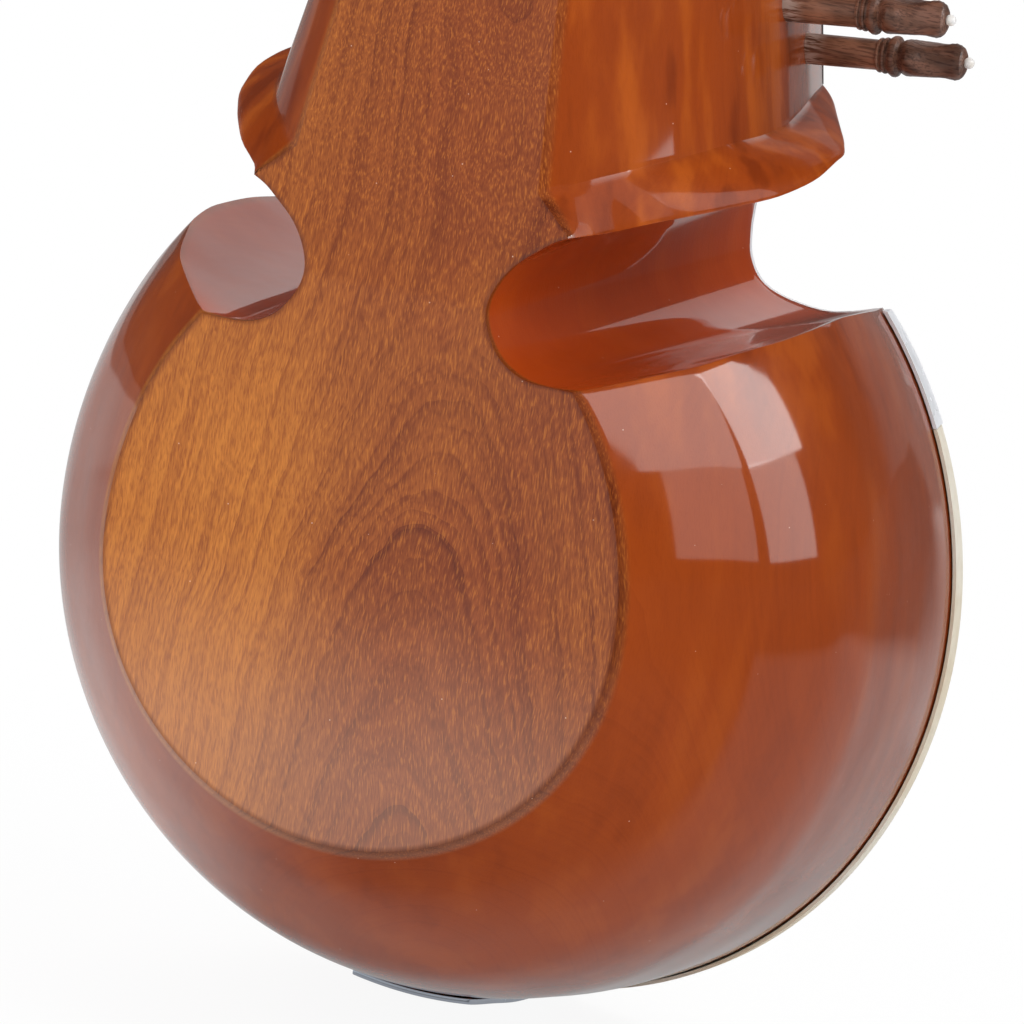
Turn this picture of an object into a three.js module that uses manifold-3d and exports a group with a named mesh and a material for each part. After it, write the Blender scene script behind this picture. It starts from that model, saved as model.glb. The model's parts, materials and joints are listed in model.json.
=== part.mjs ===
// A sarod: a fretless plucked lute carved from one block of wood, in millimetres.
// Z runs up to the head, the strings face -Y, the flat back lies at y = 0, and the origin is the
// middle of the flat round on the back of the bowl. The sympathetic pegs are on the -X side.
import * as THREE from "three";
import { mergeVertices } from "three/addons/utils/BufferGeometryUtils.js";
import Module from "manifold-3d";

const wasm = await Module();
wasm.setup();

// Driving dimensions of the whole instrument.
const bowlHalfWidth = 137;
const bodyDepth = 188;
const rimDrop = 23.2;
const bowlWall = 12;
const backWall = 13;
const fitGap = 0.3;
const overrun = 4;

// Neck and fingerboard.
const neckEndHeight = 560;
const nutAboveJoint = 15;
const neckDepthAtNut = 66;
const boardLowHalfWidth = 60;
const boardNutHalfWidth = 27;
const boardFlare = 2.2;
const neckLiftPower = 1.35;
const sectionBlend = 26;
const neckHollowDrop = 4;
const neckWall = 13;
const neckFloor = 16;
const ledgeWidth = 6;
const coverThickness = 4;
const plateThickness = 2;
const plateJointGap = 2;
const plateTongueHalfWidth = 40;
const plateTongueRise = 9;
const plateShoulderDrop = 8;
const plateInset = 0.5;

// Skin, bridge and the parts on the bowl.
const skinThickness = 1.2;
const skinWrap = 10;
const wrapGap = 0.55;
const bridgeHeight = 22;
const bridgeHalfWidth = 36;
const bridgeThickness = 8;
const bridgeHoleHeight = 8;
const bridgeHoleRadius = 1.2;
const bridgeArchHeight = 5;
const bridgeFootWidth = 14;
const bridgeTopHalfWidth = 31;
const tailHalfWidth = 21;
const tailThickness = 2;
const tailReach = 100;
const tailLipHeight = 14;
const nutWidth = 5;
const nutRise = 4;

// Strings.
const mainStringCount = 6;
const chikariCount = 2;
const tarabCount = 11;
const mainSpacingBridge = 8;
const mainSpacingNut = 6;
const mainFirst = 26;
const chikariFirst = -22;
const chikariSpacing = 5;
const tailSpread = 17;
const tarabSpacing = 4;
const stringRadius = 0.35;
const tarabRadius = 0.25;
const stringClear = 0.3;
const stringSides = 6;

// Sympathetic pegs, in two staggered rows.
const tarabRise = 15.5;
const tarabPitch = 16;
const tarabFrontRow = 36;
const tarabBackRow = 68;
const tarabTilt = THREE.MathUtils.degToRad(5);
const tarabPegRadius = 5;
const tarabPegOut = 54;
const tarabPegIn = 30;
const ferruleRadius = 1.5;

// Chikari pegs and posts.
const chikariPegRise = 45;
const chikariPegRow = 30;
const chikariPegRadius = 5.5;
const chikariPegOut = 62;
const chikariPegIn = 26;
const chikariPostRise = 19.5;
const chikariPitch = 42;
const chikariFerruleRise = 20;
const postRadius = 2.4;
const postRise = 9;
const postInset = 5;

// Head with its peg box.
const headLength = 280;
const pegboxRise = 20;
const pegboxHalfWidth = 19;
const pegboxFloorWall = 13;
const headHalfWidth = 29;
const mainPegDepthFromFront = 21;
const mainPegRadius = 6.5;
const mainPegOut = 66;

// Shares of the depth at which the outlines below are given, back to front.
const depthShares = [0, 0.064, 0.117, 0.186, 0.266, 0.372, 0.479, 0.585, 0.691, 0.798, 0.904, 1];

// Outlines of the carved block at those depths, as shares of the bowl's half width.
const bowlWidthShares = [0.627, 0.715, 0.78, 0.86, 0.925, 0.98, 1, 1, 0.995, 0.987, 0.977, 0.965];
const bowlLowShares = [0.604, 0.7, 0.768, 0.85, 0.934, 0.985, 1.015, 1.029, 1.042, 1.047, 1.052, 1.055];
const bowlHighShares = [0.753, 0.82, 0.88, 0.945, 0.997, 1.07, 1.12, 1.142, 1.146, 1.13, 1.095, 1.065];
const shoulderShares = [0.525, 0.549, 0.569, 0.593, 0.617, 0.639, 0.651, 0.653, 0.645, 0.631, 0.613, 0.599];
const lipReachShares = [0.38, 0.414, 0.482, 0.549, 0.612, 0.675, 0.704, 0.697, 0.653, 0.595, 0.536, 0.482];
const lipHeightShares = [0.85, 0.859, 0.885, 0.905, 0.926, 0.953, 0.987, 1.015, 1.022, 1.024, 1.026, 1.029];
const creaseReachShares = [0.274, 0.314, 0.361, 0.42, 0.467, 0.515, 0.533, 0.533, 0.522, 0.5, 0.474, 0.438];
const creaseHeightShares = [0.927, 0.94, 0.958, 0.98, 1.004, 1.036, 1.048, 1.058, 1.075, 1.088, 1.095, 1.095];
const lipThickShares = [0.004, 0.02, 0.032, 0.036, 0.036, 0.036, 0.036, 0.036, 0.036, 0.036, 0.036, 0.036];

// The waist cut between shoulder and lip: reach and height at the back and at the front.
const waistBackShares = [
  [0.385, 0.523], [0.324, 0.533], [0.272, 0.563], [0.236, 0.611],
  [0.221, 0.66], [0.231, 0.71], [0.266, 0.766], [0.319, 0.812],
];
const waistFrontShares = [
  [0.518, 0.563], [0.416, 0.577], [0.354, 0.606], [0.321, 0.657],
  [0.312, 0.708], [0.311, 0.759], [0.318, 0.81], [0.36, 0.89],
];

// Half widths of the neck's section at those depths, as shares of the fingerboard's.
const neckSectionShares = [0.64, 0.86, 0.98, 1.08, 1.16, 1.23, 1.25, 1.24, 1.2, 1.14, 1.07, 1];

// Heights on the bowl as shares of its half width, and on the head as shares of its length.
const waistBendShare = 0.569;
const skinTopShare = 0.35;
const waistPlateTopShare = 0.8175;
const bridgePlaceShare = 0.3285;
const pegboxTopShare = 0.686;
const mainPegFirstShare = 0.207;
const mainPegPitchShare = 0.082;

// Heights and depths that follow from the sizes above.
const waistBendHeight = waistBendShare * bowlHalfWidth;
const boardLowHeight = creaseHeightShares[creaseHeightShares.length - 1] * bowlHalfWidth;
const nutHeight = neckEndHeight + nutAboveJoint;
const neckLift = bodyDepth - neckDepthAtNut;
const neckHollowLow = boardLowHeight - neckHollowDrop;
const skinTopHeight = skinTopShare * bowlHalfWidth;
const waistPlateTopHeight = waistPlateTopShare * bowlHalfWidth;
const plateLowHeight = waistPlateTopHeight + plateJointGap;
const bridgePlace = -bridgePlaceShare * bowlHalfWidth;
const tailBackDepth = bodyDepth - tailReach;
const tarabFirstHeight = boardLowHeight + tarabRise;
const chikariPostHeight = tarabFirstHeight + tarabPitch * (tarabCount - 1) + chikariPostRise;
const headTopHeight = neckEndHeight + headLength;
const pegboxLowHeight = neckEndHeight + pegboxRise;
const pegboxTopHeight = neckEndHeight + pegboxTopShare * headLength;

// How finely the block is divided.
const bowlSteps = 13;
const lipSteps = 3;
const neckSteps = 9;

// Rounding of the waist's two corners, of the lip's edge and of the floor of the neck's hollow.
const shoulderRoundShares = [0.5, 2 / 3];
const lipRoundShares = [0.5, 0.6];
const lipEdgeShare = 1 / 3;
const lipSwellShare = 0.35;
const floorTurnShare = 2 / 3;

// Makes a mesh's geometry from corner points and triangles.
function geometryOf(points, faces) {
  const geometry = new THREE.BufferGeometry();
  const flat = points.flatMap((p) => [p.x, p.y, p.z]);
  geometry.setAttribute("position", new THREE.Float32BufferAttribute(flat, 3));
  geometry.setIndex(faces);
  return mergeVertices(geometry, 1e-4);
}

function solidOf(geometry) {
  const bare = geometry.clone();
  bare.deleteAttribute("normal");
  bare.deleteAttribute("uv");
  const merged = mergeVertices(bare, 1e-4);
  const mesh = new wasm.Mesh({
    numProp: 3,
    vertProperties: new Float32Array(merged.attributes.position.array),
    triVerts: new Uint32Array(merged.index.array),
  });
  return new wasm.Manifold(mesh);
}

function geometryFrom(solid) {
  const mesh = solid.getMesh();
  const geometry = new THREE.BufferGeometry();
  const count = mesh.numProp;
  const places = new Float32Array(mesh.numVert * 3);
  for (let i = 0; i < mesh.numVert; i++) {
    places.set(mesh.vertProperties.subarray(i * count, i * count + 3), i * 3);
  }
  geometry.setAttribute("position", new THREE.BufferAttribute(places, 3));
  geometry.setIndex(new THREE.BufferAttribute(new Uint32Array(mesh.triVerts), 1));
  return geometry;
}

function cut(geometry, tools) {
  let solid = solidOf(geometry);
  for (const tool of tools) solid = solid.subtract(solidOf(tool));
  return geometryFrom(solid);
}

function join(geometries) {
  let solid = solidOf(geometries[0]);
  for (const other of geometries.slice(1)) solid = solid.add(solidOf(other));
  return geometryFrom(solid);
}

// Straight interpolation in a table given at increasing places.
function tableAt(places, values, place) {
  let i = 0;
  while (i < places.length - 2 && place > places[i + 1]) i += 1;
  const share = (place - places[i]) / (places[i + 1] - places[i]);
  return values[i] + (values[i + 1] - values[i]) * share;
}

// Closes a stack of rings, each with as many points, into a solid with flat ends.
function stackOf(rings) {
  const count = rings[0].length;
  const points = rings.flat();
  const faces = [];
  for (let r = 0; r < rings.length - 1; r++) {
    for (let k = 0; k < count; k++) {
      const next = (k + 1) % count;
      const a = r * count + k;
      const b = r * count + next;
      const c = (r + 1) * count + next;
      const d = (r + 1) * count + k;
      faces.push(a, b, c, a, c, d);
    }
  }
  const last = (rings.length - 1) * count;
  for (let k = 0; k < Math.floor((count - 1) / 2); k++) {
    const far = count - 1 - k;
    faces.push(k, far, k + 1, last + k, last + k + 1, last + far);
    if (k + 1 < far - 1) faces.push(k + 1, far, far - 1, last + k + 1, last + far - 1, last + far);
  }
  const geometry = geometryOf(points, faces);
  return solidOf(geometry).volume() < 0 ? turnedInsideOut(geometry) : geometry;
}

function turnedInsideOut(geometry) {
  const turned = geometry.clone();
  const index = turned.index.array;
  for (let i = 0; i < index.length; i += 3) {
    const kept = index[i];
    index[i] = index[i + 1];
    index[i + 1] = kept;
  }
  return turned;
}

// The neck's lines: the front half width and the height of the back at a height z.
function boardHalfWidth(z) {
  const share = Math.min(1, (z - boardLowHeight) / (nutHeight - boardLowHeight));
  const left = Math.max(0, 1 - share);
  return boardNutHalfWidth + (boardLowHalfWidth - boardNutHalfWidth) * left ** boardFlare;
}

function backPlace(z) {
  const share = Math.max(0, (z - waistBendHeight) / (nutHeight - waistBendHeight));
  return -neckLift * share ** neckLiftPower;
}

// A point on the neck's wall at height z and depth station j.
function neckPoint(z, j) {
  const share = depthShares[j];
  const crease = creaseHeightShares[j] * bowlHalfWidth;
  const blend = THREE.MathUtils.smoothstep(z, crease, crease + sectionBlend);
  const low = (creaseReachShares[j] * bowlHalfWidth) / boardHalfWidth(crease);
  const section = low + (neckSectionShares[j] - low) * blend;
  const y = backPlace(z) * (1 - share) - bodyDepth * share;
  return new THREE.Vector3(section * boardHalfWidth(z), y, z);
}

// The bowl's side at a share of the depth, from its foot to the shoulder, grown by a clearance.
function bowlArc(share, grow) {
  const at = (shares) => tableAt(depthShares, shares, share) * bowlHalfWidth;
  const middle = -rimDrop * share;
  const lastAngle = Math.asin((at(shoulderShares) - middle) / at(bowlHighShares));
  const arc = [];
  for (let i = 0; i <= bowlSteps; i++) {
    const angle = -Math.PI / 2 + ((lastAngle + Math.PI / 2) * i) / bowlSteps;
    const reach = at(angle < 0 ? bowlLowShares : bowlHighShares) + grow;
    const width = i ? at(bowlWidthShares) + grow : 0;
    arc.push([width * Math.cos(angle), middle + reach * Math.sin(angle)]);
  }
  return arc;
}

// A place between two others, with its own share in x and in z.
function between(from, to, shares) {
  return from.map((value, k) => value + (to[k] - value) * shares[k]);
}

// The block's outline at depth station j, from the foot of the bowl to the end of the neck.
function blockOutline(j) {
  const share = depthShares[j];
  const unit = bowlHalfWidth;
  const flat = bowlArc(share, 0);
  const corner = flat[bowlSteps];
  const waist = waistBackShares.map(([x, z], i) => [
    (x + (waistFrontShares[i][0] - x) * share) * unit,
    (z + (waistFrontShares[i][1] - z) * share) * unit,
  ]);
  flat.push(between(corner, waist[0], shoulderRoundShares));
  flat.push(...waist);
  const lip = [lipReachShares[j] * unit, lipHeightShares[j] * unit];
  const thick = lipThickShares[j] * unit;
  const crease = [creaseReachShares[j] * unit, creaseHeightShares[j] * unit];
  const top = [lip[0] - thick * lipEdgeShare, lip[1] + thick];
  flat.push(between(waist[waist.length - 1], lip, lipRoundShares));
  flat.push(lip, top);
  for (let i = 1; i < lipSteps; i++) {
    const along = i / lipSteps;
    const swell = Math.sin(Math.PI * along) * thick * lipSwellShare;
    const [x, z] = between(top, crease, [along, along]);
    flat.push([x, z + swell]);
  }
  const outline = flat.map(([x, z]) => {
    const y = backPlace(z) * (1 - share) - bodyDepth * share;
    return new THREE.Vector3(x, y, z);
  });
  for (let i = 0; i <= neckSteps; i++) {
    outline.push(neckPoint(crease[1] + ((neckEndHeight - crease[1]) * i) / neckSteps, j));
  }
  return outline;
}

// The whole carved block before it is hollowed.
function blockGeometry() {
  const rows = depthShares.map((share, j) => blockOutline(j));
  const count = rows[0].length;
  const loops = rows.map((row) => [
    ...row.slice(1).reverse().map((p) => new THREE.Vector3(-p.x, p.y, p.z)),
    ...row,
  ]);
  const width = loops[0].length;
  const points = loops.flat();
  const faces = [];
  for (let j = 0; j < loops.length - 1; j++) {
    for (let i = 0; i < width - 1; i++) {
      const a = j * width + i;
      const b = a + 1;
      faces.push(a, b + width, b, a, a + width, b + width);
    }
    const left = j * width;
    const right = left + width - 1;
    faces.push(left, right, right + width, left, right + width, left + width);
  }
  const front = (loops.length - 1) * width;
  for (let i = 0; i < count - 1; i++) {
    const a = i;
    const b = i + 1;
    const c = width - 2 - i;
    const d = width - 1 - i;
    if (b < c) {
      faces.push(a, b, c, a, c, d);
      faces.push(front + a, front + c, front + b, front + a, front + d, front + c);
    } else {
      faces.push(a, b, d);
      faces.push(front + a, front + d, front + b);
    }
  }
  const geometry = geometryOf(points, faces);
  return solidOf(geometry).volume() < 0 ? turnedInsideOut(geometry) : geometry;
}

// The hollow of the bowl, open to the front.
const hollowDepthShares = [0, 0.07, 0.18, 0.42, 0.7];

function bowlHollow() {
  const sides = 24;
  const topHeight = shoulderShares[0] * bowlHalfWidth - bowlWall;
  const rings = [];
  const depths = hollowDepthShares.map((share) => backWall + (bodyDepth - backWall) * share);
  for (const depth of [...depths, bodyDepth + overrun]) {
    const share = Math.min(1, depth / bodyDepth);
    const place = Math.max(0, share - backWall / bodyDepth / 2);
    const width = tableAt(depthShares, bowlWidthShares, place) * bowlHalfWidth - bowlWall;
    const low = tableAt(depthShares, bowlLowShares, place) * bowlHalfWidth - bowlWall;
    const middle = -rimDrop * share;
    const ring = [];
    for (let k = 0; k < sides; k++) {
      const angle = (k / sides) * Math.PI * 2;
      const reach = Math.sin(angle) < 0 ? low : topHeight - middle;
      ring.push(new THREE.Vector3(width * Math.cos(angle), -depth, middle + reach * Math.sin(angle)));
    }
    rings.push(ring);
  }
  return stackOf(rings);
}

// The hollow of the neck, open to the front, and the ledge that carries its cover.
function neckChannel(low, high, inset, floorShare, floorOf) {
  const steps = 7;
  const rings = [];
  for (let i = 0; i <= steps; i++) {
    const z = low + ((high - low) * i) / steps;
    const half = boardHalfWidth(z) - inset;
    const back = floorOf(z);
    const front = -bodyDepth - overrun;
    rings.push([
      new THREE.Vector3(-half, front, z),
      new THREE.Vector3(half, front, z),
      new THREE.Vector3(half, front + (back - front) * floorTurnShare, z),
      new THREE.Vector3(half * floorShare, back, z),
      new THREE.Vector3(-half * floorShare, back, z),
      new THREE.Vector3(-half, front + (back - front) * floorTurnShare, z),
    ]);
  }
  return stackOf(rings);
}

// How far the neck's wall stands out from the middle at a place on its side.
function wallReach(z, y) {
  const reaches = depthShares.map((share, j) => neckPoint(z, j));
  const places = reaches.map((p) => -p.y);
  return tableAt(places, reaches.map((p) => p.x), -y);
}

// Everything about each peg: where it leaves the wall, which way it points, how thick it is.
function tarabPegs() {
  const pegs = [];
  for (let i = 0; i < tarabCount; i++) {
    const z = tarabFirstHeight + tarabPitch * i;
    const narrowing = (bodyDepth + backPlace(z)) / (bodyDepth + backPlace(tarabFirstHeight));
    const y = -bodyDepth + (i % 2 ? tarabBackRow : tarabFrontRow) * narrowing;
    const x = -wallReach(z, y);
    pegs.push({
      name: "tarab_peg_" + (i + 1),
      base: new THREE.Vector3(x, y, z),
      out: new THREE.Vector3(-Math.cos(tarabTilt), 0, Math.sin(tarabTilt)),
      radius: tarabPegRadius,
      outLength: tarabPegOut,
      inLength: Math.min(tarabPegIn, -x - overrun),
      sides: 8,
    });
  }
  return pegs;
}

function chikariPegs() {
  const pegs = [];
  for (let i = 0; i < chikariCount; i++) {
    const z = chikariPostHeight + chikariPitch * i + chikariPegRise;
    const y = -bodyDepth + chikariPegRow;
    const x = -wallReach(z, y);
    pegs.push({
      name: "chikari_peg_" + (i + 1),
      base: new THREE.Vector3(x, y, z),
      out: new THREE.Vector3(-1, 0, 0),
      radius: chikariPegRadius,
      outLength: chikariPegOut,
      inLength: chikariPegIn,
      sides: 10,
    });
  }
  return pegs;
}

function mainPegs() {
  const pegs = [];
  for (let i = 0; i < mainStringCount; i++) {
    const side = i % 2 ? -1 : 1;
    const z = neckEndHeight + (mainPegFirstShare + mainPegPitchShare * i) * headLength;
    const y = headFront(z) + mainPegDepthFromFront;
    pegs.push({
      name: "main_peg_" + (i + 1),
      base: new THREE.Vector3(side * headReach(z), y, z),
      out: new THREE.Vector3(side, 0, 0),
      radius: mainPegRadius,
      outLength: mainPegOut,
      inLength: 2 * headReach(z) - fitGap,
      sides: 10,
    });
  }
  return pegs;
}

// Profile of a turned peg: distance from the wall as a share of the outer length, then radius,
// flattening and twist of the carved head.
const pegCollarShares = [
  [0.42, 1], [0.43, 1.14], [0.46, 1.14], [0.47, 1.02], [0.5, 1.2], [0.53, 1.2], [0.545, 0.92],
];
const pegHeadShares = [
  [0.58, 1.28, 0.8, 0], [0.66, 1.5, 0.62, 0.25], [0.78, 1.28, 0.55, 0.6], [0.9, 0.95, 0.6, 0.85], [0.955, 0.8, 0.7, 1],
];
const pegHeadTwist = THREE.MathUtils.degToRad(80);
const pegTaper = 0.72;
const pegBeadShare = 0.42;
const pegBeadAngles = [-0.9, 0, 0.9];

function pegGeometry(peg) {
  const across = new THREE.Vector3(0, 1, 0);
  const up = new THREE.Vector3().crossVectors(peg.out, across);
  const rings = [];
  const ring = (distance, radius, flat, turn) => {
    const middle = peg.base.clone().addScaledVector(peg.out, distance);
    const corners = [];
    for (let k = 0; k < peg.sides; k++) {
      const angle = (k / peg.sides) * Math.PI * 2;
      const u = Math.cos(angle) * radius;
      const v = Math.sin(angle) * radius * flat;
      const a = u * Math.cos(turn) - v * Math.sin(turn);
      const b = u * Math.sin(turn) + v * Math.cos(turn);
      corners.push(middle.clone().addScaledVector(across, a).addScaledVector(up, b));
    }
    rings.push(corners);
  };
  ring(-peg.inLength, peg.radius * pegTaper, 1, 0);
  ring(0, peg.radius, 1, 0);
  for (const [along, wide] of pegCollarShares) ring(peg.outLength * along, peg.radius * wide, 1, 0);
  for (const [along, wide, flat, turned] of pegHeadShares) {
    ring(peg.outLength * along, peg.radius * wide, flat, pegHeadTwist * turned);
  }
  const bead = peg.radius * pegBeadShare;
  const beadMiddle = peg.outLength + bead;
  for (const angle of pegBeadAngles) {
    ring(beadMiddle + bead * Math.sin(angle), bead * Math.cos(angle), 1, 0);
  }
  return stackOf(rings);
}

// The tapered hole that a peg turns in, clear of it all round.
function pegHole(peg, fromDistance, toDistance) {
  const across = new THREE.Vector3(0, 1, 0);
  const up = new THREE.Vector3().crossVectors(peg.out, across);
  const clear = 1 / Math.cos(Math.PI / peg.sides);
  const rings = [fromDistance, 0, -peg.inLength, toDistance].map((distance) => {
    const share = Math.min(1, Math.max(0, -distance / peg.inLength));
    const radius = (peg.radius * (1 - (1 - pegTaper) * share) + fitGap) * clear;
    const middle = peg.base.clone().addScaledVector(peg.out, distance);
    const corners = [];
    for (let k = 0; k < peg.sides; k++) {
      const angle = ((k + 0.5) / peg.sides) * Math.PI * 2;
      const corner = middle.clone().addScaledVector(across, Math.cos(angle) * radius);
      corners.push(corner.addScaledVector(up, Math.sin(angle) * radius));
    }
    return corners;
  });
  return stackOf(rings);
}

// The head: it carries on the neck's lines, and its front falls back a little towards the tip.
const headShares = [0, 0.06, 0.12, 0.25, 0.45, 0.62, 0.74, 0.82, 0.9, 0.96, 1];
const headReachShares = [0.93, 0.95, 1, 1.02, 1, 0.94, 0.84, 0.7, 0.56, 0.6, 0.36];
const headFrontShares = [0, 0, 0, 0.02, 0.06, 0.12, 0.22, 0.34, 0.46, 0.52, 0.62];
const headBackShares = [0, 0.02, 0.04, 0.07, 0.1, 0.1, 0.08, 0.1, 0.12, 0.06, 0.12];
const headFall = 46;
const pegboxWidthShares = [1, 1, 0.8];

function headShare(z) {
  return (z - neckEndHeight) / (headTopHeight - neckEndHeight);
}

function headReach(z) {
  return headHalfWidth * tableAt(headShares, headReachShares, headShare(z)) * neckSectionShares[9];
}

function headFront(z) {
  return -bodyDepth + headFall * tableAt(headShares, headFrontShares, headShare(z));
}

function headBack(z) {
  return backPlace(neckEndHeight) - headFall * tableAt(headShares, headBackShares, headShare(z));
}

function headRing(z) {
  const half = headHalfWidth * tableAt(headShares, headReachShares, headShare(z));
  const front = headFront(z);
  const back = headBack(z);
  const right = depthShares.map((share, j) => {
    return new THREE.Vector3(half * neckSectionShares[j], back + (front - back) * share, z);
  });
  const left = right.map((p) => new THREE.Vector3(-p.x, p.y, p.z)).reverse();
  return [...right, ...left];
}

function headGeometry(pegs) {
  const lowest = neckEndHeight + fitGap;
  const heights = headShares.map((share) => lowest + (headTopHeight - lowest) * share);
  const outer = stackOf(heights.map(headRing));
  const box = stackOf(
    [pegboxLowHeight, (pegboxLowHeight + pegboxTopHeight) / 2, pegboxTopHeight].map((z, i) => {
      const half = pegboxHalfWidth * pegboxWidthShares[i];
      const front = headFront(z) - overrun;
      const back = headBack(z) - pegboxFloorWall;
      return [
        new THREE.Vector3(-half, front, z),
        new THREE.Vector3(half, front, z),
        new THREE.Vector3(half, back, z),
        new THREE.Vector3(-half, back, z),
      ];
    }),
  );
  const holes = pegs.map((peg) => pegHole(peg, overrun, -peg.inLength - overrun));
  return cut(outer, [box, ...holes]);
}

function bodyGeometry(pegs) {
  const hollowTop = neckEndHeight - neckWall;
  const narrow = neckSectionShares[0];
  const deep = neckChannel(neckHollowLow, hollowTop, neckWall, narrow, (z) => backPlace(z) - neckFloor);
  const ledge = neckChannel(
    neckHollowLow - ledgeWidth,
    hollowTop + ledgeWidth,
    neckWall - ledgeWidth,
    1,
    () => -bodyDepth + coverThickness + fitGap,
  );
  const holes = pegs.map((peg) => pegHole(peg, overrun * 2, -peg.inLength - overrun));
  return cut(blockGeometry(), [bowlHollow(), deep, ledge, ...holes]);
}

// A flat piece that lies on the front, from an outline in x and z.
function frontPlate(outline, frontY, thickness, holes = []) {
  const shape = new THREE.Shape(outline.map(([x, z]) => new THREE.Vector2(x, z)));
  for (const [x, z, radius] of holes) {
    const hole = new THREE.Path();
    hole.absarc(x, z, radius, 0, Math.PI * 2, true);
    shape.holes.push(hole);
  }
  const geometry = new THREE.ExtrudeGeometry(shape, {
    depth: thickness,
    bevelEnabled: false,
    curveSegments: 3,
    steps: 1,
  });
  geometry.rotateX(Math.PI / 2);
  geometry.translate(0, frontY + thickness, 0);
  return geometry;
}

function mirrored(right) {
  const left = right.map(([x, z]) => [-x, z]).reverse();
  return [...right, ...left];
}

// Faces of the layers that lie on the block's front.
const blockFront = -bodyDepth - fitGap;
const plateFront = blockFront - plateThickness;
const skinFront = blockFront - skinThickness;

// Where the strings of the neck's hollow go down through the fingerboard.
function tarabFerrule(i) {
  const z = tarabPegs()[i].base.z - tarabPitch / 2;
  return [-boardHalfWidth(z) + neckWall + tarabSpacing, z, ferruleRadius];
}

function chikariPost(i) {
  const z = chikariPostHeight + chikariPitch * i;
  return [-boardHalfWidth(z) + postInset, z];
}

function chikariFerrule(i) {
  const z = chikariPostHeight + chikariPitch * i + chikariFerruleRise;
  return [-boardHalfWidth(z) + neckWall + tarabSpacing / 2, z, ferruleRadius];
}

function ferrulePlaces() {
  const tarab = Array.from({ length: tarabCount }, (unused, i) => tarabFerrule(i));
  const chikari = Array.from({ length: chikariCount }, (unused, i) => chikariFerrule(i));
  return [...tarab, ...chikari];
}

function coverGeometry() {
  const low = neckHollowLow - ledgeWidth + fitGap;
  const high = neckEndHeight - neckWall + ledgeWidth - fitGap;
  const inset = neckWall - ledgeWidth + fitGap;
  const right = [];
  const steps = 7;
  for (let i = 0; i <= steps; i++) {
    const z = low + ((high - low) * i) / steps;
    right.push([boardHalfWidth(z) - inset, z]);
  }
  return frontPlate(mirrored(right), -bodyDepth, coverThickness, ferrulePlaces());
}

function fingerboardGeometry() {
  const high = nutHeight - nutWidth;
  const right = [
    [plateTongueHalfWidth / 2, plateLowHeight],
    [plateTongueHalfWidth, plateLowHeight + plateTongueRise],
    [boardLowHalfWidth - plateTongueRise / 2, boardLowHeight - plateShoulderDrop],
  ];
  const steps = 10;
  for (let i = 0; i <= steps; i++) {
    const z = boardLowHeight + ((high - boardLowHeight) * i) / steps;
    right.push([boardHalfWidth(z) - plateInset, z]);
  }
  return frontPlate(mirrored(right), plateFront, plateThickness, ferrulePlaces());
}

// The bowl's outline at a share of the depth, grown by a clearance and closed at a height.
function bowlRing(share, grow, topHeight, y) {
  const arc = bowlArc(share, grow);
  let below = arc.length - 2;
  while (below > 1 && arc[below][1] > topHeight) below -= 1;
  const [fromX, fromZ] = arc[below];
  const [toX, toZ] = arc[below + 1];
  const along = (topHeight - fromZ) / (toZ - fromZ);
  const right = [...arc.slice(0, below + 1), [fromX + (toX - fromX) * along, topHeight]];
  const left = right.slice(1).reverse().map(([x, z]) => [-x, z]);
  return [...left, ...right].map(([x, z]) => new THREE.Vector3(x, y, z));
}

// A cap over the rim: its front face and the edge turned back along the bowl's side.
function rimCap(thickness, wrap, topHeight, front) {
  const outerGrow = wrapGap + thickness;
  const back = -bodyDepth + wrap;
  const outer = stackOf([
    bowlRing(1, outerGrow, topHeight, front),
    bowlRing(1, outerGrow, topHeight, -bodyDepth),
    bowlRing(1 - wrap / bodyDepth, outerGrow, topHeight, back),
  ]);
  const inner = stackOf([
    bowlRing(1, wrapGap, topHeight + overrun, blockFront),
    bowlRing(1, wrapGap, topHeight + overrun, -bodyDepth),
    bowlRing(1 - (wrap + overrun) / bodyDepth, wrapGap, topHeight + overrun, back + overrun),
  ]);
  return cut(outer, [inner]);
}

function skinGeometry() {
  return rimCap(skinThickness, skinWrap, skinTopHeight, skinFront);
}

// The plate over the waist, with a lip that goes on along the line of the skin's edge.
function waistPlateGeometry() {
  const last = depthShares.length - 1;
  const low = skinTopHeight + fitGap;
  const grow = wrapGap + skinThickness;
  const shoulder = shoulderShares[last] * bowlHalfWidth;
  const arc = bowlRing(1, grow, shoulder - fitGap, 0).filter((p) => p.x > 0 && p.z > low);
  const first = bowlRing(1, grow, low, 0).slice(-1);
  const waist = blockOutline(last).slice(bowlSteps + 1);
  const inside = waist.filter((p, i) => i < waistFrontShares.length && p.z < waistPlateTopHeight);
  const right = [...first, ...arc, ...inside].map((p) => [p.x, p.z]);
  right.push([inside[inside.length - 1].x, waistPlateTopHeight]);
  const face = frontPlate(mirrored(right), plateFront, plateThickness);
  const size = bowlHalfWidth * 2;
  const below = new THREE.BoxGeometry(size * 2, size * 2, size);
  below.translate(0, -bodyDepth, low - size / 2);
  const inner = new THREE.BoxGeometry(size * 2, plateThickness + overrun, size * 2);
  inner.translate(0, blockFront - (plateThickness + overrun) / 2, 0);
  const lip = cut(rimCap(skinThickness, skinWrap, shoulder - fitGap, skinFront), [below, inner]);
  return join([face, lip]);
}

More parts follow.
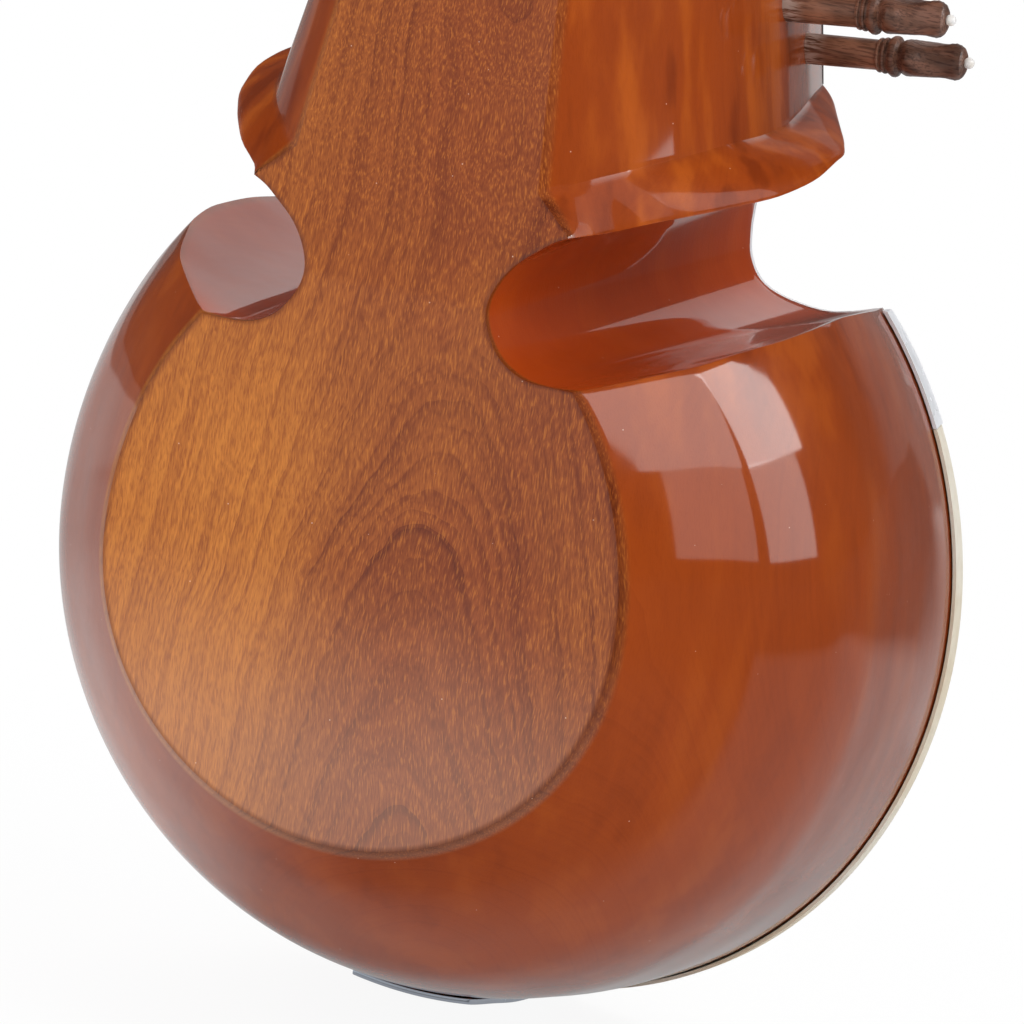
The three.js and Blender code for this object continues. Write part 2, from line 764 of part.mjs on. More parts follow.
// A bar across the strings, drawn from its foot up and as thick as it is along them.
function crossBar(outline, footY, lowHeight, thickness, holes = []) {
  const shape = new THREE.Shape(outline.map(([x, h]) => new THREE.Vector2(x, h)));
  for (const [x, h, radius] of holes) {
    const hole = new THREE.Path();
    hole.absarc(x, h, radius, 0, Math.PI * 2, true);
    shape.holes.push(hole);
  }
  const geometry = new THREE.ExtrudeGeometry(shape, {
    depth: thickness,
    bevelEnabled: false,
    curveSegments: 3,
    steps: 1,
  });
  geometry.scale(1, -1, -1);
  geometry.translate(0, footY, lowHeight + thickness);
  return geometry;
}

function tarabBridgePlace(i) {
  return (i - (tarabCount - 1) / 2) * tarabSpacing;
}

function bridgeGeometry() {
  const outline = [
    [bridgeHalfWidth, 0],
    [bridgeTopHalfWidth, bridgeHeight],
    [-bridgeTopHalfWidth, bridgeHeight],
    [-bridgeHalfWidth, 0],
    [-bridgeHalfWidth + bridgeFootWidth, 0],
    [-bridgeHalfWidth + bridgeFootWidth + bridgeArchHeight, bridgeArchHeight],
    [bridgeHalfWidth - bridgeFootWidth - bridgeArchHeight, bridgeArchHeight],
    [bridgeHalfWidth - bridgeFootWidth, 0],
  ];
  const holes = [];
  for (let i = 0; i < tarabCount; i++) {
    holes.push([tarabBridgePlace(i), bridgeHoleHeight, bridgeHoleRadius]);
  }
  const foot = skinFront - fitGap;
  return crossBar(outline, foot, bridgePlace - bridgeThickness / 2, bridgeThickness, holes);
}

const bridgeTop = skinFront - fitGap - bridgeHeight;
const nutTop = plateFront - nutRise;

function nutGeometry() {
  const half = boardHalfWidth(nutHeight) - plateInset;
  const height = blockFront - nutTop;
  const outline = [
    [half, 0],
    [half - nutRise / 2, height],
    [-half + nutRise / 2, height],
    [-half, 0],
  ];
  return crossBar(outline, blockFront, nutHeight - nutWidth + fitGap, nutWidth);
}

// The string holder hooks under the foot of the bowl and turns up over the rim.
const tailInner = wrapGap + fitGap + skinThickness;
const tailFront = -bodyDepth - tailInner - tailThickness;
const tailFoot = -rimDrop - tableAt(depthShares, bowlLowShares, 1) * bowlHalfWidth - tailInner;
const tailTop = tailFoot - tailThickness + tailLipHeight;
const tailSteps = 6;

function tailBand(share, y) {
  const middle = -rimDrop * share;
  const place = (grow, i) => {
    const width = tableAt(depthShares, bowlWidthShares, share) * bowlHalfWidth + grow;
    const low = tableAt(depthShares, bowlLowShares, share) * bowlHalfWidth + grow;
    const x = -tailHalfWidth + (2 * tailHalfWidth * i) / tailSteps;
    return new THREE.Vector3(x, y, middle - low * Math.sqrt(1 - (x / width) ** 2));
  };
  const ring = [];
  for (let i = 0; i <= tailSteps; i++) ring.push(place(tailInner + tailThickness, i));
  for (let i = tailSteps; i >= 0; i--) ring.push(place(tailInner, i));
  return ring;
}

function tailpieceGeometry() {
  const rings = [tailBand(1, tailFront)];
  for (let i = 0; i <= tailSteps; i++) {
    const depth = bodyDepth - ((bodyDepth - tailBackDepth) * i) / tailSteps;
    rings.push(tailBand(depth / bodyDepth, -depth));
  }
  const lowEdge = tailBand(1, 0).slice(0, tailSteps + 1).map((p) => [p.x, p.z]);
  const chamfer = tailThickness;
  const outline = [
    ...lowEdge,
    [tailHalfWidth, tailTop - chamfer],
    [tailHalfWidth - chamfer, tailTop],
    [-tailHalfWidth + chamfer, tailTop],
    [-tailHalfWidth, tailTop - chamfer],
  ];
  return join([stackOf(rings), frontPlate(outline, tailFront, tailThickness)]);
}

// Profile of a chikari post: radius and height.
const postShares = [[0, 0], [1.5, 0], [1.4, 0.15], [1, 0.3], [0.8, 0.85], [1.1, 1], [0, 1]];
const postSides = 10;

function postGeometry(i) {
  const [x, z] = chikariPost(i);
  const profile = postShares.map(([r, h]) => new THREE.Vector2(r * postRadius, h * postRise));
  const geometry = new THREE.LatheGeometry(profile, postSides);
  geometry.rotateX(Math.PI);
  geometry.translate(x, plateFront - fitGap, z);
  return geometry;
}

// A string's route: straight runs between the places that it passes over or through.
class StringRoute extends THREE.Curve {
  constructor(points) {
    super();
    this.points = points;
  }

  getPoint(t) {
    const last = this.points.length - 1;
    const place = Math.min(last, Math.max(0, t * last));
    const i = Math.min(last - 1, Math.floor(place));
    return this.points[i].clone().lerp(this.points[i + 1], place - i);
  }

  getPointAt(u) {
    return this.getPoint(u);
  }

  getTangentAt(u) {
    const last = this.points.length - 1;
    const i = Math.round(u * last);
    const before = this.points[Math.max(0, i - 1)];
    const after = this.points[Math.min(last, i + 1)];
    return after.clone().sub(before).normalize();
  }
}

function stringGeometry(points, radius) {
  const section = new THREE.Shape();
  for (let k = 0; k < stringSides; k++) {
    const angle = (k / stringSides) * Math.PI * 2;
    const x = Math.cos(angle) * radius;
    const y = Math.sin(angle) * radius;
    if (k) section.lineTo(x, y);
    else section.moveTo(x, y);
  }
  return new THREE.ExtrudeGeometry(section, {
    steps: points.length - 1,
    bevelEnabled: false,
    extrudePath: new StringRoute(points),
  });
}

// The place where a string meets a peg's shank, just clear of it on the side that is asked for.
function shankPlace(peg, inward, radius, side) {
  const share = inward / peg.inLength;
  const shank = peg.radius * (1 - (1 - pegTaper) * share);
  const place = peg.base.clone().addScaledVector(peg.out, -inward);
  return place.addScaledVector(side, shank + stringClear + radius);
}

// The two edges of a bar that a string lies over.
function overBar(x, y, z, half) {
  return [new THREE.Vector3(x, y, z - half), new THREE.Vector3(x, y, z + half)];
}

const towardsFoot = new THREE.Vector3(0, 0, -1);
const towardsFront = new THREE.Vector3(0, -1, 0);
const stringLift = stringClear + stringRadius;

function tailPlace(x, y) {
  return new THREE.Vector3((x * tailSpread) / bridgeTopHalfWidth, y, tailTop + stringLift);
}

function mainStringPoints(k) {
  const x = mainFirst - mainSpacingBridge * k;
  const nutX = mainSpacingNut * ((mainStringCount - 1) / 2 - k);
  const order = k < mainStringCount / 2 ? 2 * k : 2 * (mainStringCount - 1 - k) + 1;
  const peg = mainPegs()[order];
  const inward = Math.abs(peg.base.x) - Math.abs(nutX);
  return [
    tailPlace(x, tailFront + stringRadius),
    ...overBar(x, bridgeTop - stringLift, bridgePlace, bridgeThickness / 2),
    ...overBar(nutX, nutTop - stringLift, nutHeight - nutWidth / 2 + fitGap, nutWidth / 2),
    shankPlace(peg, inward, stringRadius, towardsFront),
  ];
}

function chikariStringPoints(i) {
  const x = chikariFirst - chikariSpacing * i;
  const [postX, postZ] = chikariPost(i);
  const [holeX, holeZ] = chikariFerrule(i);
  const peg = chikariPegs()[i];
  return [
    tailPlace(x, tailFront + stringRadius),
    ...overBar(x, bridgeTop - stringLift, bridgePlace, bridgeThickness / 2),
    ...overBar(postX, plateFront - fitGap - postRise - stringLift, postZ, postRadius),
    new THREE.Vector3(holeX, plateFront - stringRadius, holeZ - stringRadius),
    new THREE.Vector3(holeX, -bodyDepth + coverThickness, holeZ),
    shankPlace(peg, chikariPegIn - overrun, stringRadius, towardsFoot),
  ];
}

function tarabStringPoints(i) {
  const x = tarabBridgePlace(i);
  const [holeX, holeZ] = tarabFerrule(i);
  const peg = tarabPegs()[i];
  const height = skinFront - fitGap - bridgeHoleHeight;
  return [
    tailPlace(x, tailFront + tailThickness - stringRadius),
    ...overBar(x, height, bridgePlace, bridgeThickness / 2),
    new THREE.Vector3(holeX, plateFront - tarabRadius * 2, holeZ - tarabRadius * 2),
    new THREE.Vector3(holeX, -bodyDepth + coverThickness, holeZ),
    shankPlace(peg, peg.inLength - overrun, tarabRadius, towardsFoot),
  ];
}

// Materials of the real pieces.
function material(color, roughness, metalness) {
  return new THREE.MeshStandardMaterial({ color, roughness, metalness });
}

const lacqueredWood = material(0x9a4a1c, 0.2, 0);
const darkWood = material(0x4b2c1e, 0.6, 0);
const steel = material(0xc8ccd0, 0.2, 1);
const hide = material(0xe9dfc6, 0.6, 0);
const whitePlate = material(0xe6ebf0, 0.35, 0);
const horn = material(0xd8cdb4, 0.4, 0);

const sarod = new THREE.Group();

function add(name, geometry, finish) {
  const mesh = new THREE.Mesh(geometry, finish);
  mesh.name = name;
  sarod.add(mesh);
}

add("body", bodyGeometry([...tarabPegs(), ...chikariPegs()]), lacqueredWood);
add("head", headGeometry(mainPegs()), lacqueredWood);
add("neck_cover", coverGeometry(), darkWood);
add("fingerboard", fingerboardGeometry(), steel);
add("waist_plate", waistPlateGeometry(), whitePlate);
add("skin", skinGeometry(), hide);
add("bridge", bridgeGeometry(), horn);
add("nut", nutGeometry(), horn);
add("tailpiece", tailpieceGeometry(), steel);
for (const peg of [...tarabPegs(), ...chikariPegs(), ...mainPegs()]) {
  add(peg.name, pegGeometry(peg), darkWood);
}
for (let i = 0; i < chikariCount; i++) {
  add("chikari_post_" + (i + 1), postGeometry(i), horn);
  add("chikari_string_" + (i + 1), stringGeometry(chikariStringPoints(i), stringRadius), steel);
}
for (let k = 0; k < mainStringCount; k++) {
  add("main_string_" + (k + 1), stringGeometry(mainStringPoints(k), stringRadius), steel);
}
for (let i = 0; i < tarabCount; i++) {
  add("tarab_string_" + (i + 1), stringGeometry(tarabStringPoints(i), tarabRadius), steel);
}

export default sarod;
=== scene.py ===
"""Looks of a sarod: carved body, head, pegs, strings, skin, plates and fittings."""
import json
import math

import bmesh
import bpy
from bpy.props import FloatProperty, FloatVectorProperty, IntProperty, PointerProperty
from mathutils import Matrix, Vector


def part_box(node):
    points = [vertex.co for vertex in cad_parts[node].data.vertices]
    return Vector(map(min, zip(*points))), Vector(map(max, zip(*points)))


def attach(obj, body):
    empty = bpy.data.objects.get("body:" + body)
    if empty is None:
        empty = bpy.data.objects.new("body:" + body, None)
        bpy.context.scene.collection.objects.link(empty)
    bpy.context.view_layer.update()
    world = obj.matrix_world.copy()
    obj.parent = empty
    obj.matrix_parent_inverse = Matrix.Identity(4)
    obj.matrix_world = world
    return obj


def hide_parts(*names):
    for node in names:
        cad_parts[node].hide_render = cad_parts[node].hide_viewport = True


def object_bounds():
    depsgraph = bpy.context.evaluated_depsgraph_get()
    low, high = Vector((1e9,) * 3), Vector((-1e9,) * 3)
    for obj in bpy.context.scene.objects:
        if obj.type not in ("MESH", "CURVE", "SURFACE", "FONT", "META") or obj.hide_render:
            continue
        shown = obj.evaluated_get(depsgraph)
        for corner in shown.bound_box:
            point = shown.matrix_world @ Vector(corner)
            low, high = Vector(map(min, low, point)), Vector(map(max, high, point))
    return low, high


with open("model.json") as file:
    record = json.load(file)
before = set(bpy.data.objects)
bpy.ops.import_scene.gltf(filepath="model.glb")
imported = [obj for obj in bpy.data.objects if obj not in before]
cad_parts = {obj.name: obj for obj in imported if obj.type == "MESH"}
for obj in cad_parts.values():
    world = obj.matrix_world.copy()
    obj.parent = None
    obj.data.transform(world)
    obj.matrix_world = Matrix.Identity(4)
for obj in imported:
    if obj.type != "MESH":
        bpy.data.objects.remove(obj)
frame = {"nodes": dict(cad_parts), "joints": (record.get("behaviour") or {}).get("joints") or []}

bl_info = {
    "name": "Sarod builder",
    "version": (1, 0, 0),
    "blender": (4, 5, 0),
    "location": "View3D > Sidebar > Sarod",
    "description": "Builds the carved body, pegs, strings and fittings of a sarod",
    "category": "Add Mesh",
}

CAD_LOW, CAD_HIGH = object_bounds()
ROOT = "sarod"
JOINTS = {joint["child"]: joint for joint in frame["joints"]}
MILLIMETRE = 0.001
SEAT_GAP = 0.3 * MILLIMETRE

# Steps of the carved block's outline and of its depth, and how they crowd together.
ARC_STEPS = 72
WAIST_STEPS = 4
LIP_STEPS = 14
NECK_STEPS = 60
DEPTH_STEPS = 43
FIRST_DEPTH_SHARE = 0.018
BACK_INSET = 2 * MILLIMETRE
LIP_SPACING = 1.3
NECK_SPACING = 1.35
BACK_CURVE = 1.35
BOARD_FLARE = 2.2
EDGE_WEIGHTS = {"corner": 1.0, "lip": 0.5, "crease": 0.3}
SHEET_STEPS = 8

# Outlines of the carved block at shares of its depth, back to front, in bowl half widths.
DEPTH_SHARES = (0, 0.064, 0.117, 0.186, 0.266, 0.372, 0.479, 0.585, 0.691, 0.798, 0.904, 1)
BOWL_WIDTH_SHARES = (0.627, 0.715, 0.78, 0.86, 0.925, 0.98, 1, 1, 0.995, 0.987, 0.977, 0.965)
BOWL_LOW_SHARES = (0.604, 0.7, 0.768, 0.85, 0.934, 0.985, 1.015, 1.029, 1.042, 1.047, 1.052, 1.055)
BOWL_HIGH_SHARES = (0.753, 0.82, 0.88, 0.945, 0.997, 1.07, 1.12, 1.142, 1.146, 1.13, 1.095, 1.065)
SHOULDER_SHARES = (0.525, 0.549, 0.569, 0.593, 0.617, 0.639, 0.651, 0.653, 0.645, 0.631, 0.613, 0.599)
LIP_REACH_SHARES = (0.38, 0.424, 0.492, 0.552, 0.612, 0.675, 0.704, 0.697, 0.653, 0.595, 0.536, 0.482)
LIP_HEIGHT_SHARES = (0.85, 0.859, 0.885, 0.905, 0.926, 0.953, 0.987, 1.015, 1.022, 1.024, 1.026, 1.029)
CREASE_HEIGHT_SHARES = (0.93, 0.97, 0.992, 1.012, 1.03, 1.048, 1.055, 1.062, 1.076, 1.088, 1.095, 1.095)
LIP_THICK_SHARES = (0.004, 0.02, 0.032, 0.036, 0.036, 0.036, 0.036, 0.036, 0.036, 0.036, 0.036, 0.036)
NECK_SECTION_SHARES = (0.625, 0.82, 0.94, 1.05, 1.14, 1.22, 1.25, 1.24, 1.2, 1.14, 1.07, 1)
WAIST_BACK_SHARES = (
    (0.385, 0.523), (0.324, 0.533), (0.272, 0.563), (0.236, 0.611),
    (0.221, 0.66), (0.231, 0.71), (0.266, 0.766), (0.319, 0.812),
)
WAIST_FRONT_SHARES = (
    (0.518, 0.563), (0.416, 0.577), (0.354, 0.606), (0.321, 0.657),
    (0.312, 0.708), (0.311, 0.759), (0.318, 0.81), (0.36, 0.89),
)
WAIST_BEND_SHARE = 0.569
SHOULDER_ROUND = (0.5, 2 / 3)
LIP_ROUND = (0.5, 0.6)

# The head's lines as shares of its length.
HEAD_SHARES = (0, 0.06, 0.12, 0.25, 0.45, 0.62, 0.74, 0.82, 0.9, 0.96, 1)
HEAD_REACH_SHARES = (0.93, 0.95, 1, 1.02, 1, 0.94, 0.84, 0.7, 0.56, 0.6, 0.36)
HEAD_FRONT_SHARES = (0, 0, 0, 0.02, 0.06, 0.12, 0.22, 0.34, 0.46, 0.52, 0.62)
HEAD_BACK_SHARES = (0, 0.02, 0.04, 0.07, 0.1, 0.1, 0.08, 0.1, 0.12, 0.06, 0.12)
HEAD_FALL = 0.046
HEAD_STEPS = 70
HEAD_SIDE_STEPS = 30
PEG_BOX_RISE = 0.02
PEG_BOX_TOP_SHARE = 0.686
PEG_BOX_WALL = 0.0173
PEG_BOX_WIDTH = 0.038
PEG_BOX_ROUND = 0.005
PEG_BOX_FRONT = -0.2


class SarodSizes(bpy.types.PropertyGroup):
    """Sizes of the carved block and of the small fittings."""

    bowl_half_width: FloatProperty(
        name="Bowl half width", description="Half the bowl's greatest width", default=0.137, unit="LENGTH"
    )
    body_depth: FloatProperty(
        name="Body depth", description="From the flat back to the front", default=0.188, unit="LENGTH"
    )
    rim_drop: FloatProperty(
        name="Rim drop", description="How far the rim's middle lies below the back's", default=0.0232,
        unit="LENGTH",
    )
    neck_end: FloatProperty(
        name="Neck end", description="Height of the joint between neck and head", default=0.56, unit="LENGTH"
    )
    nut_height: FloatProperty(
        name="Nut height", description="Height of the nut", default=0.575, unit="LENGTH"
    )
    neck_depth_at_nut: FloatProperty(
        name="Neck depth", description="Depth of the neck at the nut", default=0.066, unit="LENGTH"
    )
    board_low_half_width: FloatProperty(
        name="Lower board half width", description="Half the board's width at its foot", default=0.06,
        unit="LENGTH",
    )
    board_nut_half_width: FloatProperty(
        name="Upper board half width", description="Half the board's width at the nut", default=0.027,
        unit="LENGTH",
    )
    head_length: FloatProperty(
        name="Head length", description="Length of the head with its peg box", default=0.28, unit="LENGTH"
    )
    head_half_width: FloatProperty(
        name="Head half width", description="Half the head's width", default=0.029, unit="LENGTH"
    )
    edge_round: FloatProperty(
        name="Edge rounding", description="Rounding of the carved edges", default=0.0014, unit="LENGTH"
    )
    sheet_gap: FloatProperty(
        name="Sheet gap", description="Between the bowl's side and the sheets wrapped over it",
        default=0.00055, unit="LENGTH",
    )
    sheet_thickness: FloatProperty(
        name="Sheet thickness", description="Thickness of skin and plate over the rim", default=0.0012,
        unit="LENGTH",
    )
    winding_turns: IntProperty(
        name="Winding turns", description="Turns of string round each main peg", default=6, min=1
    )


class SarodFinish(bpy.types.PropertyGroup):
    """Colours of the finishes."""

    wood_gold: FloatVectorProperty(
        name="Golden wood", description="Wood of the flat back and the neck's back", subtype="COLOR", size=3,
        default=(0.52, 0.17, 0.022),
    )
    # The brown half of the flat back is partly painted shade: the same wood, darker on its unlit side.
    wood_brown: FloatVectorProperty(
        name="Brown wood", description="Darker half of the flat back", subtype="COLOR", size=3,
        default=(0.27, 0.06, 0.011),
    )
    wood_red: FloatVectorProperty(
        name="Red-brown wood", description="Stained wood of the bowl's sides", subtype="COLOR", size=3,
        default=(0.31, 0.05, 0.004),
    )
    wood_orange: FloatVectorProperty(
        name="Orange wood", description="Lightest streaks of the stained sides", subtype="COLOR", size=3,
        default=(0.44, 0.09, 0.007),
    )
    wood_dark: FloatVectorProperty(
        name="Dark wood", description="Darkest places of the stain", subtype="COLOR", size=3,
        default=(0.17, 0.022, 0.002),
    )
    peg_brown: FloatVectorProperty(
        name="Peg brown", description="Wood of the pegs", subtype="COLOR", size=3,
        default=(0.15, 0.065, 0.036),
    )
    hide: FloatVectorProperty(
        name="Hide", description="Skin over the bowl", subtype="COLOR", size=3,
        default=(0.76, 0.71, 0.6),
    )
    plate: FloatVectorProperty(
        name="Waist plate", description="White plate over the waist", subtype="COLOR", size=3,
        default=(0.8, 0.81, 0.83),
    )


# Small helpers.
def sizes():
    return bpy.context.scene.sarod_sizes


def finish():
    return bpy.context.scene.sarod_finish


def between(start, end, share):
    return start + (end - start) * share


def smooth_step(value, low, high):
    share = min(1.0, max(0.0, (value - low) / (high - low)))
    return share * share * (3 - 2 * share)


def smooth_at(places, values, place):
    """Reads a table with slopes that never overshoot it."""
    i = 0
    while i < len(places) - 2 and place > places[i + 1]:
        i += 1
    steps = [b - a for a, b in zip(places, places[1:])]
    rises = [(b - a) / step for a, b, step in zip(values, values[1:], steps)]

    def slope(k):
        if k == 0:
            return rises[0]
        if k == len(values) - 1:
            return rises[-1]
        before, after = rises[k - 1], rises[k]
        return 0.0 if before * after <= 0 else 2 * before * after / (before + after)

    t = min(1.0, max(0.0, (place - places[i]) / steps[i]))
    square, cube = t * t, t * t * t
    return (
        (2 * cube - 3 * square + 1) * values[i]
        + (cube - 2 * square + t) * steps[i] * slope(i)
        + (3 * square - 2 * cube) * values[i + 1]
        + (cube - square) * steps[i] * slope(i + 1)
    )


def spline_through(points, steps):
    """Points on a smooth line through the given ones."""
    line = []
    padded = [points[0], *points, points[-1]]
    for a, b, c, d in zip(padded, padded[1:], padded[2:], padded[3:]):
        for k in range(steps):
            t = k / steps
            line.append(tuple(
                0.5 * (
                    2 * q + (r - p) * t + (2 * p - 5 * q + 4 * r - s) * t * t
                    + (3 * q - p - 3 * r + s) * t ** 3
                )
                for p, q, r, s in zip(a, b, c, d)
            ))
    line.append(tuple(points[-1]))
    return line


def nothing_selected():
    if bpy.context.object and bpy.context.object.mode != "OBJECT":
        bpy.ops.object.mode_set(mode="OBJECT")
    bpy.ops.object.select_all(action="DESELECT")


def only(obj):
    nothing_selected()
    obj.select_set(True)
    bpy.context.view_layer.objects.active = obj
    return obj


def all_of(obj):
    only(obj)
    bpy.ops.object.mode_set(mode="EDIT")
    bpy.ops.mesh.select_all(action="SELECT")


def back_to_object():
    bpy.ops.object.mode_set(mode="OBJECT")


def apply_all(obj):
    only(obj)
    for modifier in list(obj.modifiers):
        bpy.ops.object.modifier_apply(modifier=modifier.name)
    return obj


def settle(obj):
    """Puts the object at the origin, unturned and unscaled, with its place in its mesh."""
    only(obj)
    bpy.ops.object.transform_apply(location=True, rotation=True, scale=True)
    return obj


def smoothed(obj, degrees=40):
    only(obj)
    bpy.ops.object.shade_smooth_by_angle(angle=math.radians(degrees))
    return obj


def flat_faced(obj, degrees=40):
    """Smooths the rounded edges and keeps the broad faces flat."""
    smoothed(obj, degrees)
    weighted = obj.modifiers.new("flat_faces", "WEIGHTED_NORMAL")
    weighted.keep_sharp = True
    return apply_all(obj)


def faces_out(obj):
    all_of(obj)
    bpy.ops.mesh.remove_doubles(threshold=MILLIMETRE / 100)
    bpy.ops.mesh.normals_make_consistent(inside=False)
    back_to_object()
    return obj


def bevelled(obj, width, segments=2, degrees=30):
    only(obj)
    bevel = obj.modifiers.new("edge_round", "BEVEL")
    bevel.width = width
    bevel.segments = segments
    bevel.limit_method = "ANGLE"
    bevel.angle_limit = math.radians(degrees)
    return apply_all(obj)


def dressed(obj, material, body=ROOT, nodes=()):
    """Gives a finished piece its named material, slot, body and the nodes that it stands for."""
    obj.data.materials.clear()
    obj.data.materials.append(bpy.data.materials[material])
    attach(obj, body)
    if nodes:
        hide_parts(*nodes)
    return obj


def mesh_piece(name, points, faces):
    mesh = bpy.data.meshes.new(name)
    mesh.from_pydata([tuple(p) for p in points], [], faces)
    mesh.update()
    obj = bpy.data.objects.new(name, mesh)
    bpy.context.scene.collection.objects.link(obj)
    return obj


def copy_of_node(name, cad_name):
    """A merged copy of a CAD node's mesh, with its flat faces made whole."""
    nothing_selected()
    obj = bpy.data.objects.new(name, frame["nodes"][cad_name].data.copy())
    bpy.context.scene.collection.objects.link(obj)
    all_of(obj)
    bpy.ops.mesh.remove_doubles(threshold=MILLIMETRE / 50)
    bpy.ops.mesh.dissolve_limited(angle_limit=math.radians(1))
    back_to_object()
    return obj


def tube(name, points, radius, sides=3):
    """A wire along straight runs, as a mesh."""
    curve = bpy.data.curves.new(name, "CURVE")
    curve.dimensions = "3D"
    curve.bevel_depth = radius
    curve.bevel_resolution = sides
    curve.use_fill_caps = True
    spline = curve.splines.new("POLY")
    spline.points.add(len(points) - 1)
    for spot, place in zip(spline.points, points):
        spot.co = (*place, 1)
    obj = bpy.data.objects.new(name, curve)
    bpy.context.scene.collection.objects.link(obj)
    only(obj)
    bpy.ops.object.convert(target="MESH")
    return smoothed(bpy.context.object, 60)


# Materials.
def fill(tree, socket, value):
    """Links an output to a socket, or sets a plain value on it."""
    if isinstance(value, bpy.types.NodeSocket):
        tree.links.new(value, socket)
    elif socket.type == "RGBA":
        socket.default_value = (*value, 1)
    else:
        socket.default_value = value


def node(tree, kind, inputs=(), **settings):
    """A new node with its settings, its sockets filled by name or number."""
    new = tree.nodes.new("ShaderNode" + kind)
    for name, value in settings.items():
        setattr(new, name, value)
    for key, value in dict(inputs).items():
        fill(tree, new.inputs[key], value)
    return new


def new_group(name, numbers, masks):
    """A node group with a place, numbers with their defaults, and the masks that it puts out."""
    group = bpy.data.node_groups.new(name, "ShaderNodeTree")
    group.interface.new_socket(name="Place", in_out="INPUT", socket_type="NodeSocketVector")
    for label, default in numbers.items():
        socket = group.interface.new_socket(name=label, in_out="INPUT", socket_type="NodeSocketFloat")
        socket.default_value = default
    for label in masks:
        group.interface.new_socket(name=label, in_out="OUTPUT", socket_type="NodeSocketFloat")
    start, end = group.nodes.new("NodeGroupInput"), group.nodes.new("NodeGroupOutput")
    return group, start.outputs, end.inputs


def calc(tree, operation, *values):
    return node(tree, "Math", dict(enumerate(values)), operation=operation).outputs[0]


def times(tree, a, b):
    return calc(tree, "MULTIPLY", a, b)


def plus(tree, a, b):
    return calc(tree, "ADD", a, b)


def higher(tree, a, b):
    return calc(tree, "MAXIMUM", a, b)


def mixed(tree, factor, a, b, blend="MIX"):
    inputs = {"Factor": factor, 6: a, 7: b}
    return node(tree, "Mix", inputs, data_type="RGBA", blend_type=blend).outputs[2]


def noise(tree, place, scale, detail=2.0, roughness=0.5, output="Fac"):
    inputs = {"Vector": place, "Scale": scale, "Detail": detail, "Roughness": roughness}
    return node(tree, "TexNoise", inputs, noise_dimensions="3D").outputs[output]


def mapped(tree, value, low, high, to_low=0.0, to_high=1.0, smooth=True):
    """A value's place between two others, soft at both ends."""
    inputs = {"Value": value, "From Min": low, "From Max": high, "To Min": to_low, "To Max": to_high}
    kind = "SMOOTHSTEP" if smooth else "LINEAR"
    return node(tree, "MapRange", inputs, interpolation_type=kind).outputs["Result"]


def stretched(tree, place, scale, location=(0, 0, 0)):
    return node(tree, "Mapping", {"Vector": place, "Location": location, "Scale": scale}).outputs["Vector"]


def joined(tree, *parts):
    return node(tree, "CombineXYZ", dict(enumerate(parts))).outputs["Vector"]


def parts_of(tree, place):
    return node(tree, "SeparateXYZ", {0: place}).outputs


def attribute(tree, name):
    return node(tree, "Attribute", attribute_name=name).outputs["Fac"]


def swayed(tree, place, scale, amount):
    """A place moved a little by broad noise."""
    drift = noise(tree, place, scale, output="Color")
    centred = node(tree, "VectorMath", {0: drift, 1: (0.5, 0.5, 0.5)}, operation="SUBTRACT").outputs["Vector"]
    sized = node(tree, "VectorMath", {0: centred, "Scale": amount}, operation="SCALE").outputs["Vector"]
    return node(tree, "VectorMath", {0: place, 1: sized}, operation="ADD").outputs["Vector"]


def wood_figure_group():
    """Growth lines, streaks, pores and clouds of wood cut from one log that stands along Z."""
    numbers = {"Ring spacing": 0.0075, "Taper": 0.15, "Wander": 0.016, "Phase": 0.0}
    masks = ("Lines", "Rings", "Streaks", "Pores", "Flecks", "Clouds")
    group, given, shown = new_group("wood_figure", numbers, masks)
    place = given["Place"]
    log = swayed(group, swayed(group, place, 8, given["Wander"]), 60, 0.0024)
    x, y, z = parts_of(group, log)
    from_pith = calc(group, "SQRT", plus(group, times(group, x, x), times(group, y, y)))
    growth = plus(group, from_pith, times(group, z, given["Taper"]))
    years = calc(group, "DIVIDE", growth, given["Ring spacing"])
    uneven = noise(group, joined(group, growth, 0.3, 0.7), 60, 1)
    years = plus(group, plus(group, years, times(group, uneven, 0.8)), given["Phase"])
    year = calc(group, "FRACT", years)
    kept = mapped(group, noise(group, place, 17, 3), 0.34, 0.62)
    late = times(group, calc(group, "POWER", year, 12), kept)
    lines = plus(group, late, times(group, calc(group, "POWER", year, 2), 0.3))
    fine = calc(group, "POWER", calc(group, "FRACT", times(group, years, 4.7)), 3)
    rings = times(group, fine, mapped(group, noise(group, place, 29, 2), 0.38, 0.62))
    drawn_out = joined(group, times(group, growth, 900), times(group, z, 11), 0.5)
    streaks = noise(group, drawn_out, 1, 3, 0.6)
    grain = noise(group, stretched(group, log, (1, 1, 0.12)), 2300, 1.5)
    pores, flecks = mapped(group, grain, 0.5, 0.36), mapped(group, grain, 0.54, 0.7)
    clouds = noise(group, stretched(group, place, (1, 1, 0.45)), 17, 4)
    for mask, value in zip(masks, (lines, rings, streaks, pores, flecks, clouds)):
        fill(group, shown[mask], value)


def surface_wear_group():
    """Soft unevenness and dust specks of hand-finished surfaces."""
    group, given, shown = new_group("surface_wear", {"Speck scale": 420}, ("Unevenness", "Specks"))
    place = given["Place"]
    fill(group, shown["Unevenness"], noise(group, place, 38, 3))
    cells = node(group, "TexVoronoi", {"Scale": given["Speck scale"], "Vector": place}, feature="F1").outputs
    near = mapped(group, cells["Distance"], 0.11, 0.06)
    chance = node(group, "SeparateColor", {0: cells["Color"]}).outputs[0]
    fill(group, shown["Specks"], times(group, near, calc(group, "GREATER_THAN", chance, 0.975)))


